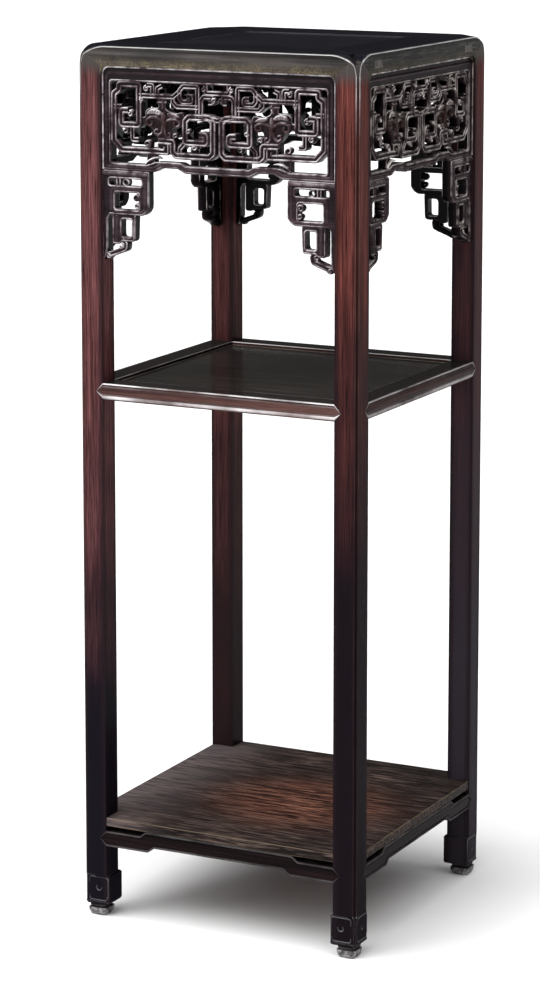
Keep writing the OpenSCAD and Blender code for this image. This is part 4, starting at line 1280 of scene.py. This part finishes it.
def padMesh():
    shape = bmesh.new()
    rings = []
    for height, wide in pad["profile"]:
        ring = []
        for i in range(pad["around"]):
            a = 2 * math.pi * i / pad["around"]
            c, s = math.cos(a), math.sin(a)
            reach = wide / (abs(c) ** pad["corner"] + abs(s) ** pad["corner"]) ** (1 / pad["corner"])
            ring.append(shape.verts.new((reach * c * mm, reach * s * mm, height * mm)))
        rings.append(ring)
    for first, second in zip(rings, rings[1:]):
        for i in range(pad["around"]):
            j = (i + 1) % pad["around"]
            shape.faces.new((first[i], first[j], second[j], second[i])).smooth = True
    shape.faces.new(rings[0])
    shape.faces.new(rings[-1])
    bmesh.ops.recalc_face_normals(shape, faces=shape.faces)
    mesh = bpy.data.meshes.new("padDrawn")
    shape.to_mesh(mesh)
    shape.free()
    setWearGlint(mesh, [1.0 if face.center.z / mm < pad["wornBelow"] else 0.0 for face in mesh.polygons])
    return mesh


padDrawn = padMesh()
for corner, (x, y) in corners.items():
    node = "foot_pad_" + corner
    place = Matrix.Translation((x * pad["centre"] * mm, y * pad["centre"] * mm, 0))
    foot = addObject(node + "_worn", joinMeshes(node, [(padDrawn, place)]))
    dressPiece(foot, node, padWood)
print("pads done")


studio = {
    "floorHalf": 40.0,
    "floorColour": (0.93, 0.93, 0.93),
    "floorShade": 0.995,
    "floorRough": 0.9,
    # how bright the air is, by the sine of the height above the horizon
    "air": [(0.08, (0.016, 0.016, 0.017)), (0.17, (0.075, 0.071, 0.062)), (0.38, (0.07, 0.07, 0.07)),
            (0.95, (0.8, 0.8, 0.8))],
    "key": {"from": (-2.1, -2.4, 4.0), "strength": 2.7, "spread": 60},
    "side": {"from": (1.7, -1.7, 4.6), "strength": 1.25, "spread": 60},
    "near": {"place": (-1.25, -1.5, 1.75), "aim": (-0.05, 0, 0.85), "size": 0.45, "power": 3},
    "front": {"place": (-1.45, -2.75, 1.06), "aim": (0, 0, 0.8), "size": 0.58, "power": 11},
    "camera": {"turn": 26.42, "distance": 3.737, "height": 1.297, "pitch": 8.72, "yaw": 0.281, "lens": 119.23,
               "sensor": 36, "shift": -0.2, "reach": 200},
}
floorMesh = bpy.data.meshes.new("floor")
floorCorners = [(x, y, 0) for x, y in squareCorners(studio["floorHalf"])]
floorMesh.from_pydata(floorCorners, [], [(0, 1, 2, 3)])
floor = addObject("floor", floorMesh)
paper = bpy.data.materials.new("studioPaper")
paper.use_nodes = True
paperTree = paper.node_tree
paperShader = paperTree.nodes["Principled BSDF"]
paperShader.inputs["Roughness"].default_value = studio["floorRough"]
paperShader.inputs["Specular IOR Level"].default_value = 0.0
paperPlace = addNode(paperTree, "ShaderNodeTexCoord").outputs["Object"]
paperDark = tuple(c * studio["floorShade"] for c in studio["floorColour"])
paperClouds = addNoise(paperTree, paperPlace, 3, 2)
paperShade = addRamp(paperTree, paperClouds, [(0.3, paperDark), (0.7, studio["floorColour"])])
link(paperTree, paperShade, paperShader.inputs["Base Color"])
floorMesh.materials.append(paper)

world = bpy.data.worlds.new("studioAir")
bpy.context.scene.world = world
world.use_nodes = True
airTree = world.node_tree
air = airTree.nodes["Background"]
height = addNode(airTree, "ShaderNodeSeparateXYZ")
link(airTree, addNode(airTree, "ShaderNodeTexCoord").outputs["Generated"], height.inputs["Vector"])
link(airTree, addRamp(airTree, height.outputs["Z"], studio["air"]), air.inputs["Color"])


def addLamp(name, data, direction):
    lamp = addObject(name, data)
    lamp.rotation_euler = direction.to_track_quat("-Z", "Y").to_euler()
    return lamp


def addSoftbox(name, look):
    data = bpy.data.lights.new(name, "AREA")
    data.size = look["size"]
    data.energy = look["power"]
    place = Vector(look["place"])
    addLamp(name, data, Vector(look["aim"]) - place).location = place


def addSkylight(name, look):
    data = bpy.data.lights.new(name, "SUN")
    data.energy = look["strength"]
    data.angle = math.radians(look["spread"])
    addLamp(name, data, -Vector(look["from"]))


addSkylight("keyLight", studio["key"])
addSkylight("sideLight", studio["side"])
addSoftbox("nearSoftbox", studio["near"])
addSoftbox("frontSoftbox", studio["front"])

view = studio["camera"]
cameraData = bpy.data.cameras.new("camera")
cameraData.sensor_width = view["sensor"]
cameraData.lens = view["lens"]
cameraData.shift_y = view["shift"]
cameraData.clip_end = view["reach"]
camera = addObject("camera", cameraData)
turn = math.radians(view["turn"])
camera.location = (math.sin(turn) * view["distance"], -math.cos(turn) * view["distance"], view["height"])
camera.rotation_euler = (math.radians(90 - view["pitch"]), 0, math.radians(view["turn"] + view["yaw"]))
bpy.context.scene.camera = camera
bpy.context.scene.view_settings.view_transform = "Standard"

for curve in sectionCurves.values():
    bpy.data.objects.remove(curve)
